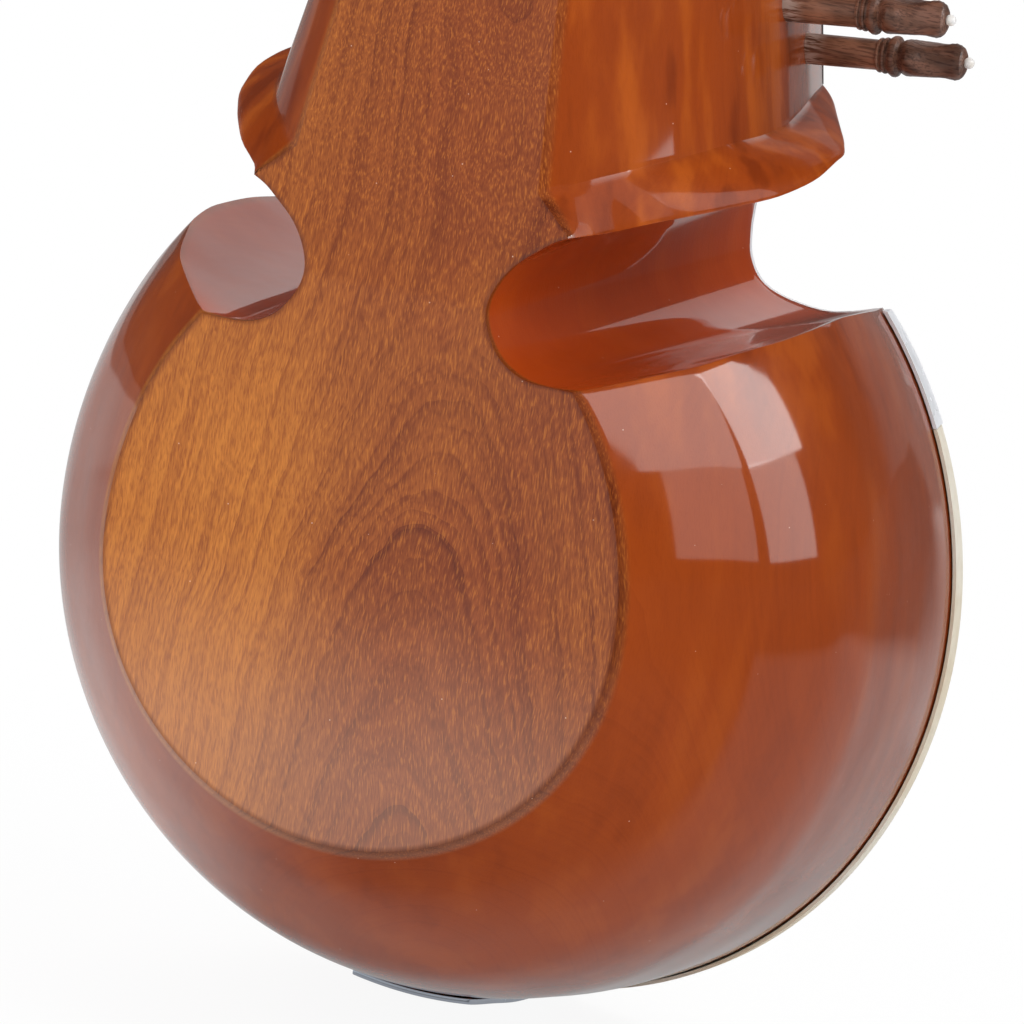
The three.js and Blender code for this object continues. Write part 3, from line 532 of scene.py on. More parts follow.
def back_nearness_group():
    """How near a place lies to the back of the block: 1 on the flat and the neck's back, 0 deeper in."""
    group, given, shown = new_group("back_nearness", {}, ("Nearness",))
    _, y, z = parts_of(group, given["Place"])
    bend = WAIST_BEND_SHARE * sizes().bowl_half_width
    lift = calc(group, "POWER", mapped(group, z, bend, sizes().nut_height, smooth=False), BACK_CURVE)
    back = times(group, lift, sizes().body_depth - sizes().neck_depth_at_nut)
    fill(group, shown["Nearness"], mapped(group, plus(group, y, back), -0.0032, -0.0012))


def start_material(name, roughness, metallic=0.0):
    material = bpy.data.materials.new(name)
    material.use_nodes = True
    tree = material.node_tree
    shader = tree.nodes["Principled BSDF"].inputs
    shader["Roughness"].default_value = roughness
    shader["Metallic"].default_value = metallic
    return tree, shader, node(tree, "TexCoord").outputs["Object"]


def feed(tree, shader, **sockets):
    """Fills the shader's sockets; an underscore stands for a space in their names."""
    for label, value in sockets.items():
        fill(tree, shader[label.replace("_", " ")], value)


def grouped(tree, name, place, numbers=()):
    inputs = {"Place": place, **dict(numbers)}
    return node(tree, "Group", inputs, node_tree=bpy.data.node_groups[name]).outputs


def add_bump(tree, shader, height, strength, distance):
    inputs = {"Strength": strength, "Distance": distance, "Height": height}
    fill(tree, shader["Normal"], node(tree, "Bump", inputs).outputs["Normal"])


def toned(colour, factor):
    return tuple(min(1.0, c * factor) for c in colour)


def tinted(colour, tint):
    return tuple(a * b for a, b in zip(colour, tint))


def darkened(tree, base, mask, amount, tint):
    """Multiplies a colour by a tint where a mask is strong."""
    return mixed(tree, times(tree, mask, amount), base, mixed(tree, 1.0, base, tint, "MULTIPLY"))


def lacquered_wood(name, pith, phase=0.0, back=True):
    """Figured wood under a glossy lacquer; pith is where the middle of the log lies."""
    tones = ("gold", "brown", "red", "orange", "dark")
    gold, brown, red, orange, dark = (tuple(getattr(finish(), "wood_" + tone)) for tone in tones)
    tree, shader, place = start_material(name, 0.32)
    log = stretched(tree, place, (1, 1, 1), tuple(-c for c in pith))
    figure = grouped(tree, "wood_figure", log, {"Phase": phase})
    clouds = figure["Clouds"]
    if back:
        nearness = grouped(tree, "back_nearness", place)["Nearness"]
    else:
        nearness = mapped(tree, clouds, 0.2, 0.9, 0.2, 0.6)
    x, _, z = parts_of(tree, swayed(tree, place, 14, 0.03))
    # Painted light: the flat back turns golden towards +X and low down, its lit side painted into the colour;
    # cloud-shaped patches add some real tone on top.
    painted_lit_side_and_clouds = times(tree, mapped(tree, x, -0.01, 0.045), mapped(tree, z, 0.12, 0.02, 0.3, 1.0))
    painted_lit_side_and_clouds = plus(tree, painted_lit_side_and_clouds, mapped(tree, clouds, 0.46, 0.7, 0.0, 0.22))
    warm = mixed(tree, painted_lit_side_and_clouds, brown, gold)
    broad = noise(tree, stretched(tree, log, (1, 1, 0.16)), 55, 3, 0.55)
    between_tones = tuple(between(a, b, 0.35) for a, b in zip(red, dark))
    deep = mixed(tree, mapped(tree, clouds, 0.34, 0.66), between_tones, red)
    high = mapped(tree, z, 0.05, 0.11, 0.25, 0.72)
    deep = mixed(tree, times(tree, mapped(tree, broad, 0.48, 0.66), high), deep, orange)
    deep = mixed(tree, times(tree, mapped(tree, broad, 0.45, 0.32), high), deep, dark)
    if back:
        # Painted light: the waist cuts turn a brighter orange, light that bounces inside the hollow painted
        # into the colour.
        hollow = mapped(tree, attribute(tree, "waist_hollow_light"), 0.0, 1.0, 0.0, 0.72)
        deep = mixed(tree, hollow, deep, tinted(orange, (1.0, 0.58, 0.4)))
    base = mixed(tree, nearness, deep, warm)
    shown = mapped(tree, nearness, 0.0, 1.0, 0.16, 1.0, smooth=False)
    for mask, amount, tint in (
        (figure["Lines"], 0.6, (0.5, 0.34, 0.4)),
        (figure["Rings"], 0.6, (0.62, 0.48, 0.5)),
        (mapped(tree, figure["Streaks"], 0.62, 0.34), 0.55, (0.66, 0.52, 0.5)),
        (figure["Pores"], 0.5, (0.55, 0.38, 0.4)),
    ):
        base = darkened(tree, base, times(tree, mask, shown), amount, tint)
    base = mixed(tree, times(tree, figure["Flecks"], times(tree, nearness, 0.3)), base, toned(gold, 1.4))
    coat = 1.0
    if back:
        # Painted reflection: the back turns a paler grey-brown towards its bottom, a sheen of the lacquer
        # painted into the colour.
        painted_low_sheen = times(tree, mapped(tree, z, 0.01, -0.06, 0.0, 0.19), nearness)
        base = mixed(tree, painted_low_sheen, base, (0.62, 0.42, 0.32))
        # Painted shade: a dark line along the back's outline, where its rounded edge turns into shade.
        edge = mapped(tree, attribute(tree, "edge_shade"), 0.1, 1.0)
        base = darkened(tree, base, edge, 0.7, (0.45, 0.3, 0.2))
        coat = mapped(tree, attribute(tree, "lip_face"), 0.0, 1.0, 1.0, 0.16)
    wear = grouped(tree, "surface_wear", place)
    base = mixed(tree, times(tree, wear["Specks"], 0.6), base, (0.8, 0.6, 0.45))
    roughness = mapped(tree, wear["Unevenness"], 0.3, 0.7, 0.28, 0.42)
    feed(tree, shader, Base_Color=base, Roughness=roughness, Specular_IOR_Level=0.05)
    shader["Coat Weight"].default_value = 1.0
    feed(tree, shader, Coat_Weight=coat, Coat_Roughness=0.055, Coat_IOR=1.52)
    add_bump(tree, shader, figure["Pores"], 0.12, 0.0002)


def stained_wood(name):
    """Dark stained wood of the lid under the string plate."""
    dark = tuple(finish().wood_dark)
    tree, shader, place = start_material(name, 0.5)
    figure = grouped(tree, "wood_figure", stretched(tree, place, (1, 1, 1), (-0.3, 0.2, 0)))
    base = mixed(tree, figure["Streaks"], toned(dark, 0.5), dark)
    base = darkened(tree, base, figure["Pores"], 0.8, (0.4, 0.35, 0.35))
    feed(tree, shader, Base_Color=base, Roughness=mapped(tree, figure["Streaks"], 0.3, 0.7, 0.4, 0.6))


def peg_wood(name):
    """Open-grained dark wood, its grain along the peg."""
    colour = tuple(finish().peg_brown)
    tree, shader, place = start_material(name, 0.42)
    grain = noise(tree, stretched(tree, place, (0.1, 1, 1)), 1500, 2, 0.6)
    broad = noise(tree, stretched(tree, place, (0.3, 1, 1)), 260, 2)
    along = attribute(tree, "along_peg")
    base = mixed(tree, mapped(tree, broad, 0.35, 0.65), colour, toned(colour, 1.9))
    base = darkened(tree, base, mapped(tree, along, 0.44, 0.5), 0.75, (0.5, 0.5, 0.56))
    base = darkened(tree, base, mapped(tree, grain, 0.54, 0.36), 0.8, (0.42, 0.34, 0.32))
    rubbed = times(tree, mapped(tree, along, 0.16, 0.04), mapped(tree, grain, 0.44, 0.56))
    rubbed = times(tree, rubbed, mapped(tree, along, -0.03, 0.0))
    base = mixed(tree, times(tree, rubbed, 0.7), base, (0.5, 0.4, 0.34))
    roughness = mapped(tree, grain, 0.35, 0.65, 0.58, 0.36)
    feed(tree, shader, Base_Color=base, Roughness=roughness, Coat_Weight=0.3, Coat_Roughness=0.22)
    add_bump(tree, shader, grain, 0.5, 0.0004)


def stretched_hide(name):
    """Thin hide with pale and warm patches and small dark marks."""
    colour = tuple(finish().hide)
    tree, shader, place = start_material(name, 0.55)
    wear = grouped(tree, "surface_wear", place, {"Speck scale": 260})
    patches = mapped(tree, noise(tree, place, 16, 5), 0.32, 0.62)
    base = mixed(tree, patches, tinted(colour, (0.93, 0.86, 0.76)), colour)
    fibres = noise(tree, stretched(tree, place, (1, 1, 0.5)), 420, 4, 0.7)
    base = darkened(tree, base, mapped(tree, fibres, 0.55, 0.35), 0.45, (0.86, 0.8, 0.7))
    base = mixed(tree, times(tree, wear["Specks"], 0.8), base, (0.3, 0.19, 0.11))
    feed(tree, shader, Base_Color=base, Roughness=mapped(tree, fibres, 0.3, 0.7, 0.45, 0.62))
    add_bump(tree, shader, fibres, 0.25, 0.0004)


def smooth_plate(name):
    """White plate with a faint cloudiness."""
    colour = tuple(finish().plate)
    tree, shader, place = start_material(name, 0.28)
    uneven = grouped(tree, "surface_wear", place)["Unevenness"]
    base = mixed(tree, mapped(tree, uneven, 0.3, 0.7), toned(colour, 0.94), colour)
    feed(tree, shader, Base_Color=base, Roughness=mapped(tree, uneven, 0.3, 0.7, 0.18, 0.34))


def polished_metal(name, colour, roughness, stretch):
    """Metal with fine marks drawn out along the instrument."""
    tree, shader, place = start_material(name, roughness, 1.0)
    uneven = grouped(tree, "surface_wear", place)["Unevenness"]
    marks = noise(tree, stretched(tree, place, (1, 1, stretch)), 900, 2)
    base = mixed(tree, mapped(tree, uneven, 0.3, 0.7), toned(colour, 0.82), colour)
    soft = mapped(tree, uneven, 0.3, 0.7, 0.0, 0.08)
    fine = mapped(tree, marks, 0.3, 0.7, roughness, roughness + 0.09)
    feed(tree, shader, Base_Color=base, Roughness=plus(tree, soft, fine))
    add_bump(tree, shader, marks, 0.04, 0.0001)


def polished_horn(name, colour):
    """Pale horn with a fine streak."""
    tree, shader, place = start_material(name, 0.3)
    streaks = noise(tree, stretched(tree, place, (0.2, 1, 1)), 500, 3)
    base = mixed(tree, mapped(tree, noise(tree, place, 60, 2), 0.35, 0.65), toned(colour, 0.84), colour)
    base = darkened(tree, base, mapped(tree, streaks, 0.6, 0.35), 0.5, (0.9, 0.82, 0.68))
    feed(tree, shader, Base_Color=base, Roughness=mapped(tree, streaks, 0.3, 0.7, 0.24, 0.36))
    add_bump(tree, shader, streaks, 0.08, 0.0002)


def make_materials():
    wood_figure_group()
    surface_wear_group()
    back_nearness_group()
    lacquered_wood("body_lacquer", (-0.022, -0.045, 0.0), -0.98)
    lacquered_wood("head_lacquer", (-0.06, -0.2, 0.0), back=False)
    stained_wood("lid_stain")
    peg_wood("peg_finish")
    stretched_hide("hide_finish")
    smooth_plate("plate_finish")
    polished_metal("board_chrome", (0.82, 0.84, 0.86), 0.05, 0.02)
    polished_metal("holder_steel", (0.66, 0.72, 0.82), 0.12, 0.05)
    polished_metal("string_wire", (0.72, 0.72, 0.7), 0.16, 0.01)
    polished_horn("bridge_horn", (0.78, 0.7, 0.55))
    polished_horn("bead_white", (0.82, 0.8, 0.78))


# Lines of the carved block, in metres.
def board_half_width(z):
    low = CREASE_HEIGHT_SHARES[-1] * sizes().bowl_half_width
    share = min(1.0, (z - low) / (sizes().nut_height - low))
    flare = max(0.0, 1 - share) ** BOARD_FLARE
    return between(sizes().board_nut_half_width, sizes().board_low_half_width, flare)


def back_place(z):
    bend = WAIST_BEND_SHARE * sizes().bowl_half_width
    share = max(0.0, (z - bend) / (sizes().nut_height - bend))
    return -(sizes().body_depth - sizes().neck_depth_at_nut) * share ** BACK_CURVE


def at_depth(shares, depth_share):
    return smooth_at(DEPTH_SHARES, shares, depth_share) * sizes().bowl_half_width


def block_place(x, z, share):
    return Vector((x, between(back_place(z), -sizes().body_depth, share), z))


def neck_wall(z, share):
    return block_place(smooth_at(DEPTH_SHARES, NECK_SECTION_SHARES, share) * board_half_width(z), z, share)


def bowl_arc(share, grow, steps):
    """The bowl's side from its foot to the shoulder."""
    middle = -sizes().rim_drop * share
    shoulder = at_depth(SHOULDER_SHARES, share)
    last = math.asin((shoulder - middle) / at_depth(BOWL_HIGH_SHARES, share))
    arc = []
    for i in range(steps + 1):
        angle = between(-math.pi / 2, last, i / steps)
        reach = at_depth(BOWL_LOW_SHARES if angle < 0 else BOWL_HIGH_SHARES, share) + grow
        width = (at_depth(BOWL_WIDTH_SHARES, share) + grow) * math.cos(angle) if i else 0.0
        arc.append((width, middle + reach * math.sin(angle)))
    return arc


def waist_line(share):
    """The waist cut from the shoulder's corner to the lip's lower edge."""
    unit = sizes().bowl_half_width
    corner = bowl_arc(share, 0, 1)[-1]
    hollow = [
        (between(a[0], b[0], share) * unit, between(a[1], b[1], share) * unit)
        for a, b in zip(WAIST_BACK_SHARES, WAIST_FRONT_SHARES)
    ]
    lip = (at_depth(LIP_REACH_SHARES, share), at_depth(LIP_HEIGHT_SHARES, share))
    start = tuple(between(a, b, s) for a, b, s in zip(corner, hollow[0], SHOULDER_ROUND))
    end = tuple(between(a, b, s) for a, b, s in zip(hollow[-1], lip, LIP_ROUND))
    return [corner, start, *hollow, end, lip]


def lip_top(share):
    """The lip's face, rolling over from its lower edge to the crease under the neck."""
    lip = (at_depth(LIP_REACH_SHARES, share), at_depth(LIP_HEIGHT_SHARES, share))
    thick = at_depth(LIP_THICK_SHARES, share)
    crease = at_depth(CREASE_HEIGHT_SHARES, share)
    crease = (neck_wall(crease, share).x, crease)
    rise = min(thick, 0.6 * (crease[1] - lip[1]))
    roll = (lip[0] - rise / 8, lip[1] + rise)
    face = []
    for k in range(1, LIP_STEPS):
        along = (k / LIP_STEPS) ** LIP_SPACING
        low = tuple(between(a, b, along) for a, b in zip(lip, roll))
        high = tuple(between(a, b, along) for a, b in zip(roll, crease))
        face.append(tuple(between(a, b, along) for a, b in zip(low, high)))
    return face


def block_row(share):
    """Places along the block's outline at one depth, and the numbers of its edges."""
    line = bowl_arc(share, 0, ARC_STEPS)
    corner = len(line) - 1
    line += spline_through(waist_line(share), WAIST_STEPS)[1:]
    lip = len(line) - 1
    line += lip_top(share)
    if share == 0:
        for i in range(corner, len(line)):
            line[i] = (line[i][0], max(line[i][1], line[i - 1][1] + MILLIMETRE / 100))
    row = [block_place(x, z, share) for x, z in line]
    crease_number = len(row)
    crease = at_depth(CREASE_HEIGHT_SHARES, share)
    for i in range(NECK_STEPS + 1):
        along = (i / NECK_STEPS) ** NECK_SPACING
        row.append(neck_wall(between(crease, sizes().neck_end, along), share))
    return row, {"corner": corner, "lip": lip, "crease": crease_number}


def carved_block():
    """The bowl, waist and neck as one fine carved surface, with the recess for the lid."""
    shares = [0.0] + [between(FIRST_DEPTH_SHARE, 1, k / DEPTH_STEPS) for k in range(DEPTH_STEPS + 1)]
    rows = []
    for share in shares:
        row, edges = block_row(share)
        rows.append(row)
    middle = len(rows[0]) - 1
    rows.insert(0, row_inside(rows[0], BACK_INSET))
    loops = [[Vector((-p.x, p.y, p.z)) for p in reversed(row[1:])] + row for row in rows]
    block = mesh_piece("carved_body", [p for loop in loops for p in loop], block_faces(len(loops), middle))
    weigh_edges(block.data, len(loops), middle, edges)
    mark_places(block.data, middle, edges)
    close_loop(block, lambda p: abs(p.y + sizes().body_depth) < MILLIMETRE / 10)
    faces_out(block)
    bevel = block.modifiers.new("edge_round", "BEVEL")
    bevel.limit_method = "WEIGHT"
    bevel.width = sizes().edge_round
    bevel.segments = 3
    apply_all(block)
    lid = copy_of_node("lid_recess", "neck_cover")
    all_of(lid)
    bpy.ops.transform.shrink_fatten(value=SEAT_GAP)
    back_to_object()
    cut_with(block, lid)
    return smoothed(block, 32)


def block_faces(count, middle):
    """Faces between the loops, over the flat back and over the neck's end."""
    across = 2 * middle + 1
    faces = []
    for j in range(count - 1):
        for i in range(across - 1):
            a = j * across + i
            faces.append((a, a + across, a + across + 1, a + 1))
    faces.append((middle, middle + 1, middle - 1))
    for i in range(1, middle):
        faces.append((middle + i, middle + i + 1, middle - i - 1, middle - i))
    for j in range(count - 1):
        left, right = j * across, (j + 1) * across - 1
        faces.append((right, right + across, left + across, left))
    return faces


def weigh_edges(mesh, count, middle, edges):
    """Says how far each edge is rounded: the outlines of back and front, and the edges between them."""
    across = 2 * middle + 1
    weights = mesh.attributes.new("bevel_weight_edge", "FLOAT", "EDGE")
    columns = {middle + way * edges[name]: value for name, value in EDGE_WEIGHTS.items() for way in (1, -1)}
    last = (count - 1) * across
    for edge in mesh.edges:
        a, b = sorted(edge.vertices)
        on_back = across <= a < 2 * across and across <= b < 2 * across and b - a == 1
        on_front = a >= last and b >= last
        column = columns.get(a % across, 0.0) if a >= across and a % across == b % across else 0.0
        if on_back or on_front:
            weights.data[edge.index].value = 1.0
        elif a >= 3 * across or column == 1.0:
            weights.data[edge.index].value = column


def mark_places(mesh, middle, edges):
    """Marks the back's outline for a painted shade line, the waist cuts for painted light and the lips' faces
    for a weaker coat.
    """
    across = 2 * middle + 1
    shade = mesh.attributes.new("edge_shade", "FLOAT", "POINT")
    for i in range(across):
        shade.data[across + i].value = 1.0 if abs(i - middle) < edges["crease"] else 0.0
    # The waist cuts get painted light; the lips' faces get a weaker coat.
    spans = {
        "waist_hollow_light": range(edges["corner"] + 1, edges["lip"]),
        "lip_face": range(edges["lip"], edges["crease"]),
    }
    for name, span in spans.items():
        marks = mesh.attributes.new(name, "FLOAT", "POINT")
        for k in range(2 * across, len(marks.data)):
            marks.data[k].value = 1.0 if abs(k % across - middle) in span else 0.0


def cut_with(obj, tool):
    """Takes the tool's shape out of the object and removes the tool."""
    cut = obj.modifiers.new("cut", "BOOLEAN")
    cut.operation = "DIFFERENCE"
    cut.solver = "EXACT"
    cut.object = tool
    apply_all(obj)
    bpy.data.objects.remove(tool)


def row_inside(row, inset):
    """The back's outline moved inwards on the back."""
    inside = []
    height = -1.0
    for i, place in enumerate(row):
        before, after = row[max(0, i - 1)], row[min(len(row) - 1, i + 1)]
        along = Vector((after.x - before.x, after.z - before.z)).normalized()
        x, z = place.x - along.y * inset, place.z + along.x * inset
        if i == 0:
            x, z = 0.0, place.z + inset
        if i == len(row) - 1:
            z = place.z
        if inside and after.x < before.x:
            x = min(x, inside[-1].x)
        height = max(height, z)
        inside.append(Vector((max(x, 0.0), back_place(height), height)))
    return inside


def close_loop(obj, chosen):
    """Fills the open edges whose places are chosen."""
    only(obj)
    mesh = bmesh.new()
    mesh.from_mesh(obj.data)
    edges = [e for e in mesh.edges if e.is_boundary and all(chosen(v.co) for v in e.verts)]
    bmesh.ops.triangle_fill(mesh, use_beauty=True, use_dissolve=False, edges=edges)
    mesh.to_mesh(obj.data)
    mesh.free()


def head_place(z, share):
    along = (z - sizes().neck_end) / sizes().head_length
    front = -sizes().body_depth + HEAD_FALL * smooth_at(HEAD_SHARES, HEAD_FRONT_SHARES, along)
    back = back_place(sizes().neck_end) - HEAD_FALL * smooth_at(HEAD_SHARES, HEAD_BACK_SHARES, along)
    half = sizes().head_half_width * smooth_at(HEAD_SHARES, HEAD_REACH_SHARES, along)
    reach = half * smooth_at(DEPTH_SHARES, NECK_SECTION_SHARES, share)
    return Vector((reach, between(back, front, share), z))


def head_block():
    """The head above the neck, with its peg box cut out."""
    low = sizes().neck_end + SEAT_GAP
    high = sizes().neck_end + sizes().head_length
    rows = []
    for k in range(HEAD_STEPS + 1):
        z = between(low, high, k / HEAD_STEPS)
        right = [head_place(z, i / HEAD_SIDE_STEPS) for i in range(HEAD_SIDE_STEPS + 1)]
        rows.append(right + [Vector((-p.x, p.y, p.z)) for p in reversed(right)])
    head = lofted("head_block", rows)
    bottom, top = sizes().neck_end + PEG_BOX_RISE, sizes().neck_end + PEG_BOX_TOP_SHARE * sizes().head_length
    floor = back_place(sizes().neck_end) - PEG_BOX_WALL
    middle = (0, (floor + PEG_BOX_FRONT) / 2, (bottom + top) / 2)
    bpy.ops.mesh.primitive_cube_add(size=1, location=middle)
    box = bpy.context.object
    box.scale = (PEG_BOX_WIDTH, floor - PEG_BOX_FRONT, top - bottom)
    settle(box)
    all_of(box)
    bpy.ops.mesh.bevel(offset=PEG_BOX_ROUND, segments=4, affect="EDGES")
    back_to_object()
    cut_with(head, box)
    return smoothed(bevelled(head, 0.8 * MILLIMETRE, 2, 50), 35)


# Pegs.
SHANK_STATIONS = ((0.0, 1.0), (0.15, 0.99), (0.3, 0.98), (0.44, 0.97))
COLLAR_STATIONS = (
    (0.452, 0.97), (0.456, 1.08), (0.464, 1.11), (0.472, 1.08), (0.476, 0.99), (0.484, 0.99), (0.488, 1.12),
    (0.498, 1.16), (0.508, 1.12), (0.512, 1.0), (0.524, 1.0), (0.53, 1.2), (0.545, 1.3), (0.56, 1.32),
    (0.574, 1.26), (0.582, 1.1), (0.59, 1.0),
)
LEAF_STATIONS = (
    (0.6, 1.02, 1.0, 0.0), (0.615, 1.2, 0.92, 0.02), (0.635, 1.42, 0.82, 0.07), (0.66, 1.54, 0.74, 0.14),
    (0.69, 1.55, 0.68, 0.23), (0.72, 1.48, 0.65, 0.33), (0.75, 1.38, 0.64, 0.43), (0.78, 1.28, 0.65, 0.53),
    (0.81, 1.2, 0.67, 0.62), (0.84, 1.13, 0.7, 0.71), (0.87, 1.1, 0.73, 0.79), (0.9, 1.08, 0.77, 0.87),
    (0.925, 1.08, 0.8, 0.93), (0.95, 1.05, 0.84, 0.98), (0.968, 0.95, 0.88, 1.0), (0.98, 0.72, 0.92, 1.0),
)
LEAF_TWIST = math.radians(85)
RIDGE_RISE = 0.16
RIDGE_EDGE = 0.86
RIDGE_FADES = (0.08, 0.05)
PEG_SIDES = 28
SHANK_TIP_SHARE = 0.72
BEAD_SHARE = 0.36
BEAD_OUT_SHARE = 0.04
# Radius at the wall and length outside it, for each kind of peg.
PEG_SIZES = {"tarab_peg": (0.005, 0.054), "chikari_peg": (0.0055, 0.062), "main_peg": (0.0065, 0.066)}


def turned_peg(name, radius, out_length, in_length):
    """A peg along +X from the wall, drawn out ring by ring from a disc."""
    nothing_selected()
    tip = radius * SHANK_TIP_SHARE
    bpy.ops.mesh.primitive_circle_add(
        vertices=PEG_SIDES, radius=tip, fill_type="NGON",
        location=(-in_length, 0, 0), rotation=(0, math.pi / 2, 0),
    )
    peg = bpy.context.object
    peg.name = name
    settle(peg)
    all_of(peg)
    here = {"x": -in_length, "radius": tip, "flat": 1.0, "turn": 0.0}

    def next_ring(x, wide, flat=1.0, turn=0.0):
        """Extrudes a ring, turned and flattened from the one before it."""
        bpy.ops.mesh.extrude_region_move(TRANSFORM_OT_translate={"value": (x - here["x"], 0, 0)})
        centre = (x, 0, 0)
        grow = wide / here["radius"]
        bpy.ops.transform.rotate(value=here["turn"], orient_axis="X", center_override=centre)
        bpy.ops.transform.resize(value=(1, grow, grow * flat / here["flat"]), center_override=centre)
        bpy.ops.transform.rotate(value=-turn, orient_axis="X", center_override=centre)
        here.update(x=x, radius=wide, flat=flat, turn=turn)

    next_ring(0.0, radius)
    for along, wide in SHANK_STATIONS[1:] + COLLAR_STATIONS:
        next_ring(along * out_length, wide * radius)
    for along, wide, flat, turned in LEAF_STATIONS:
        next_ring(along * out_length, wide * radius, flat, turned * LEAF_TWIST)
    back_to_object()
    faces_out(peg)
    along = peg.data.attributes.new("along_peg", "FLOAT", "POINT")
    places, turns = [s[0] for s in LEAF_STATIONS], [s[3] for s in LEAF_STATIONS]
    for vertex in peg.data.vertices:
        share = vertex.co.x / out_length
        along.data[vertex.index].value = share
        if share < places[1] or share > places[-3]:
            continue
        ridge = -LEAF_TWIST * smooth_at(places, turns, share)
        angle = math.atan2(vertex.co.z, vertex.co.y) - ridge
        near = max(0.0, abs(math.cos(angle)) - RIDGE_EDGE) / (1 - RIDGE_EDGE)
        fade_in, fade_out = RIDGE_FADES
        fade = min(1.0, (share - places[0]) / fade_in, (places[-2] - share) / fade_out)
        grow = 1 + RIDGE_RISE * near * near * max(0.0, fade)
        vertex.co.y *= grow
        vertex.co.z *= grow
    return smoothed(peg, 34)


def peg_bead(name, radius, out_length):
    """The white bead at the tip of a peg, on a short neck."""
    nothing_selected()
    place = (out_length + radius * BEAD_OUT_SHARE, 0, 0)
    bpy.ops.mesh.primitive_uv_sphere_add(
        segments=20, ring_count=12, radius=radius * BEAD_SHARE, location=place
    )
    bead = bpy.context.object
    bead.name = name
    settle(bead)
    return smoothed(bead, 60)


def placed_copy(template, name, matrix):
    piece = template.copy()
    piece.data = template.data.copy()
    piece.name = name
    piece.data.name = name
    piece.data.transform(matrix)
    bpy.context.scene.collection.objects.link(piece)
    return piece


def peg_matrix(name):
    joint = JOINTS[name]
    out = Vector(joint["axis"])
    across = Vector((0, 1, 0))
    up = out.cross(across)
    turn = Matrix((out, across, up)).transposed().to_4x4()
    return Matrix.Translation(Vector(joint["pos_m"])) @ turn


def shank_length(name):
    """How far a peg's shank goes in behind the wall."""
    joint = JOINTS[name]
    out, base = Vector(joint["axis"]), Vector(joint["pos_m"])
    return -min((v.co - base).dot(out) for v in frame["nodes"][name].data.vertices)


# Strings.
THIN_WIRE = 0.25 * MILLIMETRE
THICK_WIRE = 0.35 * MILLIMETRE
TURN_STEPS = 20
# Where a winding starts beside its string, and how far each turn lies from the last, in wire radii.
WINDING_START = 2.5
WINDING_PITCH = 2.1
WINDING_GAP = 0.25 * MILLIMETRE
SAME_PLACE = 1.3 * MILLIMETRE


def route_of(name):
    """The places that a string passes, from the rings of its node."""
    vertices = frame["nodes"][name].data.vertices
    places = sorted({tuple(round(c, 6) for c in v.co) for v in vertices}, key=lambda p: p[2])
    groups = []
    for place in map(Vector, places):
        near = [g for g in groups if (sum(g, Vector()) / len(g) - place).length < SAME_PLACE]
        if near:
            near[0].append(place)
        else:
            groups.append([place])
    return [sum(g, Vector()) / len(g) for g in groups]


def winding(peg_name, place, wire, turns):
    """A string's turns round a shank, next to where it arrives."""
    joint = JOINTS[peg_name]
    out, base = Vector(joint["axis"]), Vector(joint["pos_m"])
    inward = (place - base).dot(out)
    middle = base + out * inward
    start = (place - middle).normalized()
    side = out.cross(start)
    reach = (place - middle).length - WINDING_GAP
    points = []
    for k in range(TURN_STEPS * turns + 1):
        angle = 2 * math.pi * k / TURN_STEPS
        along = wire * (WINDING_START + WINDING_PITCH * k / TURN_STEPS)
        points.append(middle + out * along + (start * math.cos(angle) + side * math.sin(angle)) * reach)
    return points


# Skin, waist plate and string holder.
SKIN_ROUND = ((-1.2 * MILLIMETRE, 0.0), (-0.4 * MILLIMETRE, 0.2 * MILLIMETRE), (0.0, 1.1 * MILLIMETRE))
COVER_ARC_STEPS = 160
COVER_CUT_STEPS = 6
COVER_EDGE = 0.4 * MILLIMETRE
TURN_FRONT = 0.5 * MILLIMETRE
TURN_HEIGHTS = 24
HOLDER_THICK = 2 * MILLIMETRE
HOLDER_COLUMNS = 25
HOLDER_LENGTH_STEPS = 30
HOLDER_UPRIGHT_STEPS = 6
HOLDER_BEND_STEPS = 4
# Depths between which the holder moves away from the bowl, and between which it grows thinner.
HOLDER_LIFT_DEPTHS = (0.162, 0.176)
HOLDER_THIN_DEPTHS = (0.13, 0.17)
HOLDER_GAPS = (0.5 * MILLIMETRE, 2.05 * MILLIMETRE)
HOLDER_THIN_SHARE = 0.6


def stretched_skin():
    """The skin: a sheet over the rim, turned back along the bowl's side."""
    low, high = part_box("skin")
    inner, outer = sizes().sheet_gap, sizes().sheet_gap + sizes().sheet_thickness
    front, back = low.y, high.y
    under = -sizes().body_depth - SEAT_GAP
    rings = [(outer + grow, front + deep) for grow, deep in SKIN_ROUND[:-1]]
    steps = [k / SHEET_STEPS for k in range(SHEET_STEPS + 1)]
    rings += [(outer, between(front + SKIN_ROUND[-1][1], back, along)) for along in steps]
    rings += [(inner, between(back, under, along)) for along in steps]
    loops = []
    for grow, y in rings:
        share = min(1.0, -y / sizes().body_depth)
        loops.append([Vector((x, y, z)) for x, z in rim_line_at(share, grow, high.z)])
    return smoothed(lofted("stretched_skin", loops), 40)


def lofted(name, loops):
    """A closed piece through closed loops of equal length, with a face over each end."""
    across = len(loops[0])
    points = [p for loop in loops for p in loop]
    faces = []
    for j in range(len(loops) - 1):
        for i in range(across):
            a, b = j * across + i, j * across + (i + 1) % across
            faces.append((a, b, b + across, a + across))
    faces.append(tuple(range(across)))
    faces.append(tuple((len(loops) - 1) * across + i for i in range(across)))
    return faces_out(mesh_piece(name, points, faces))


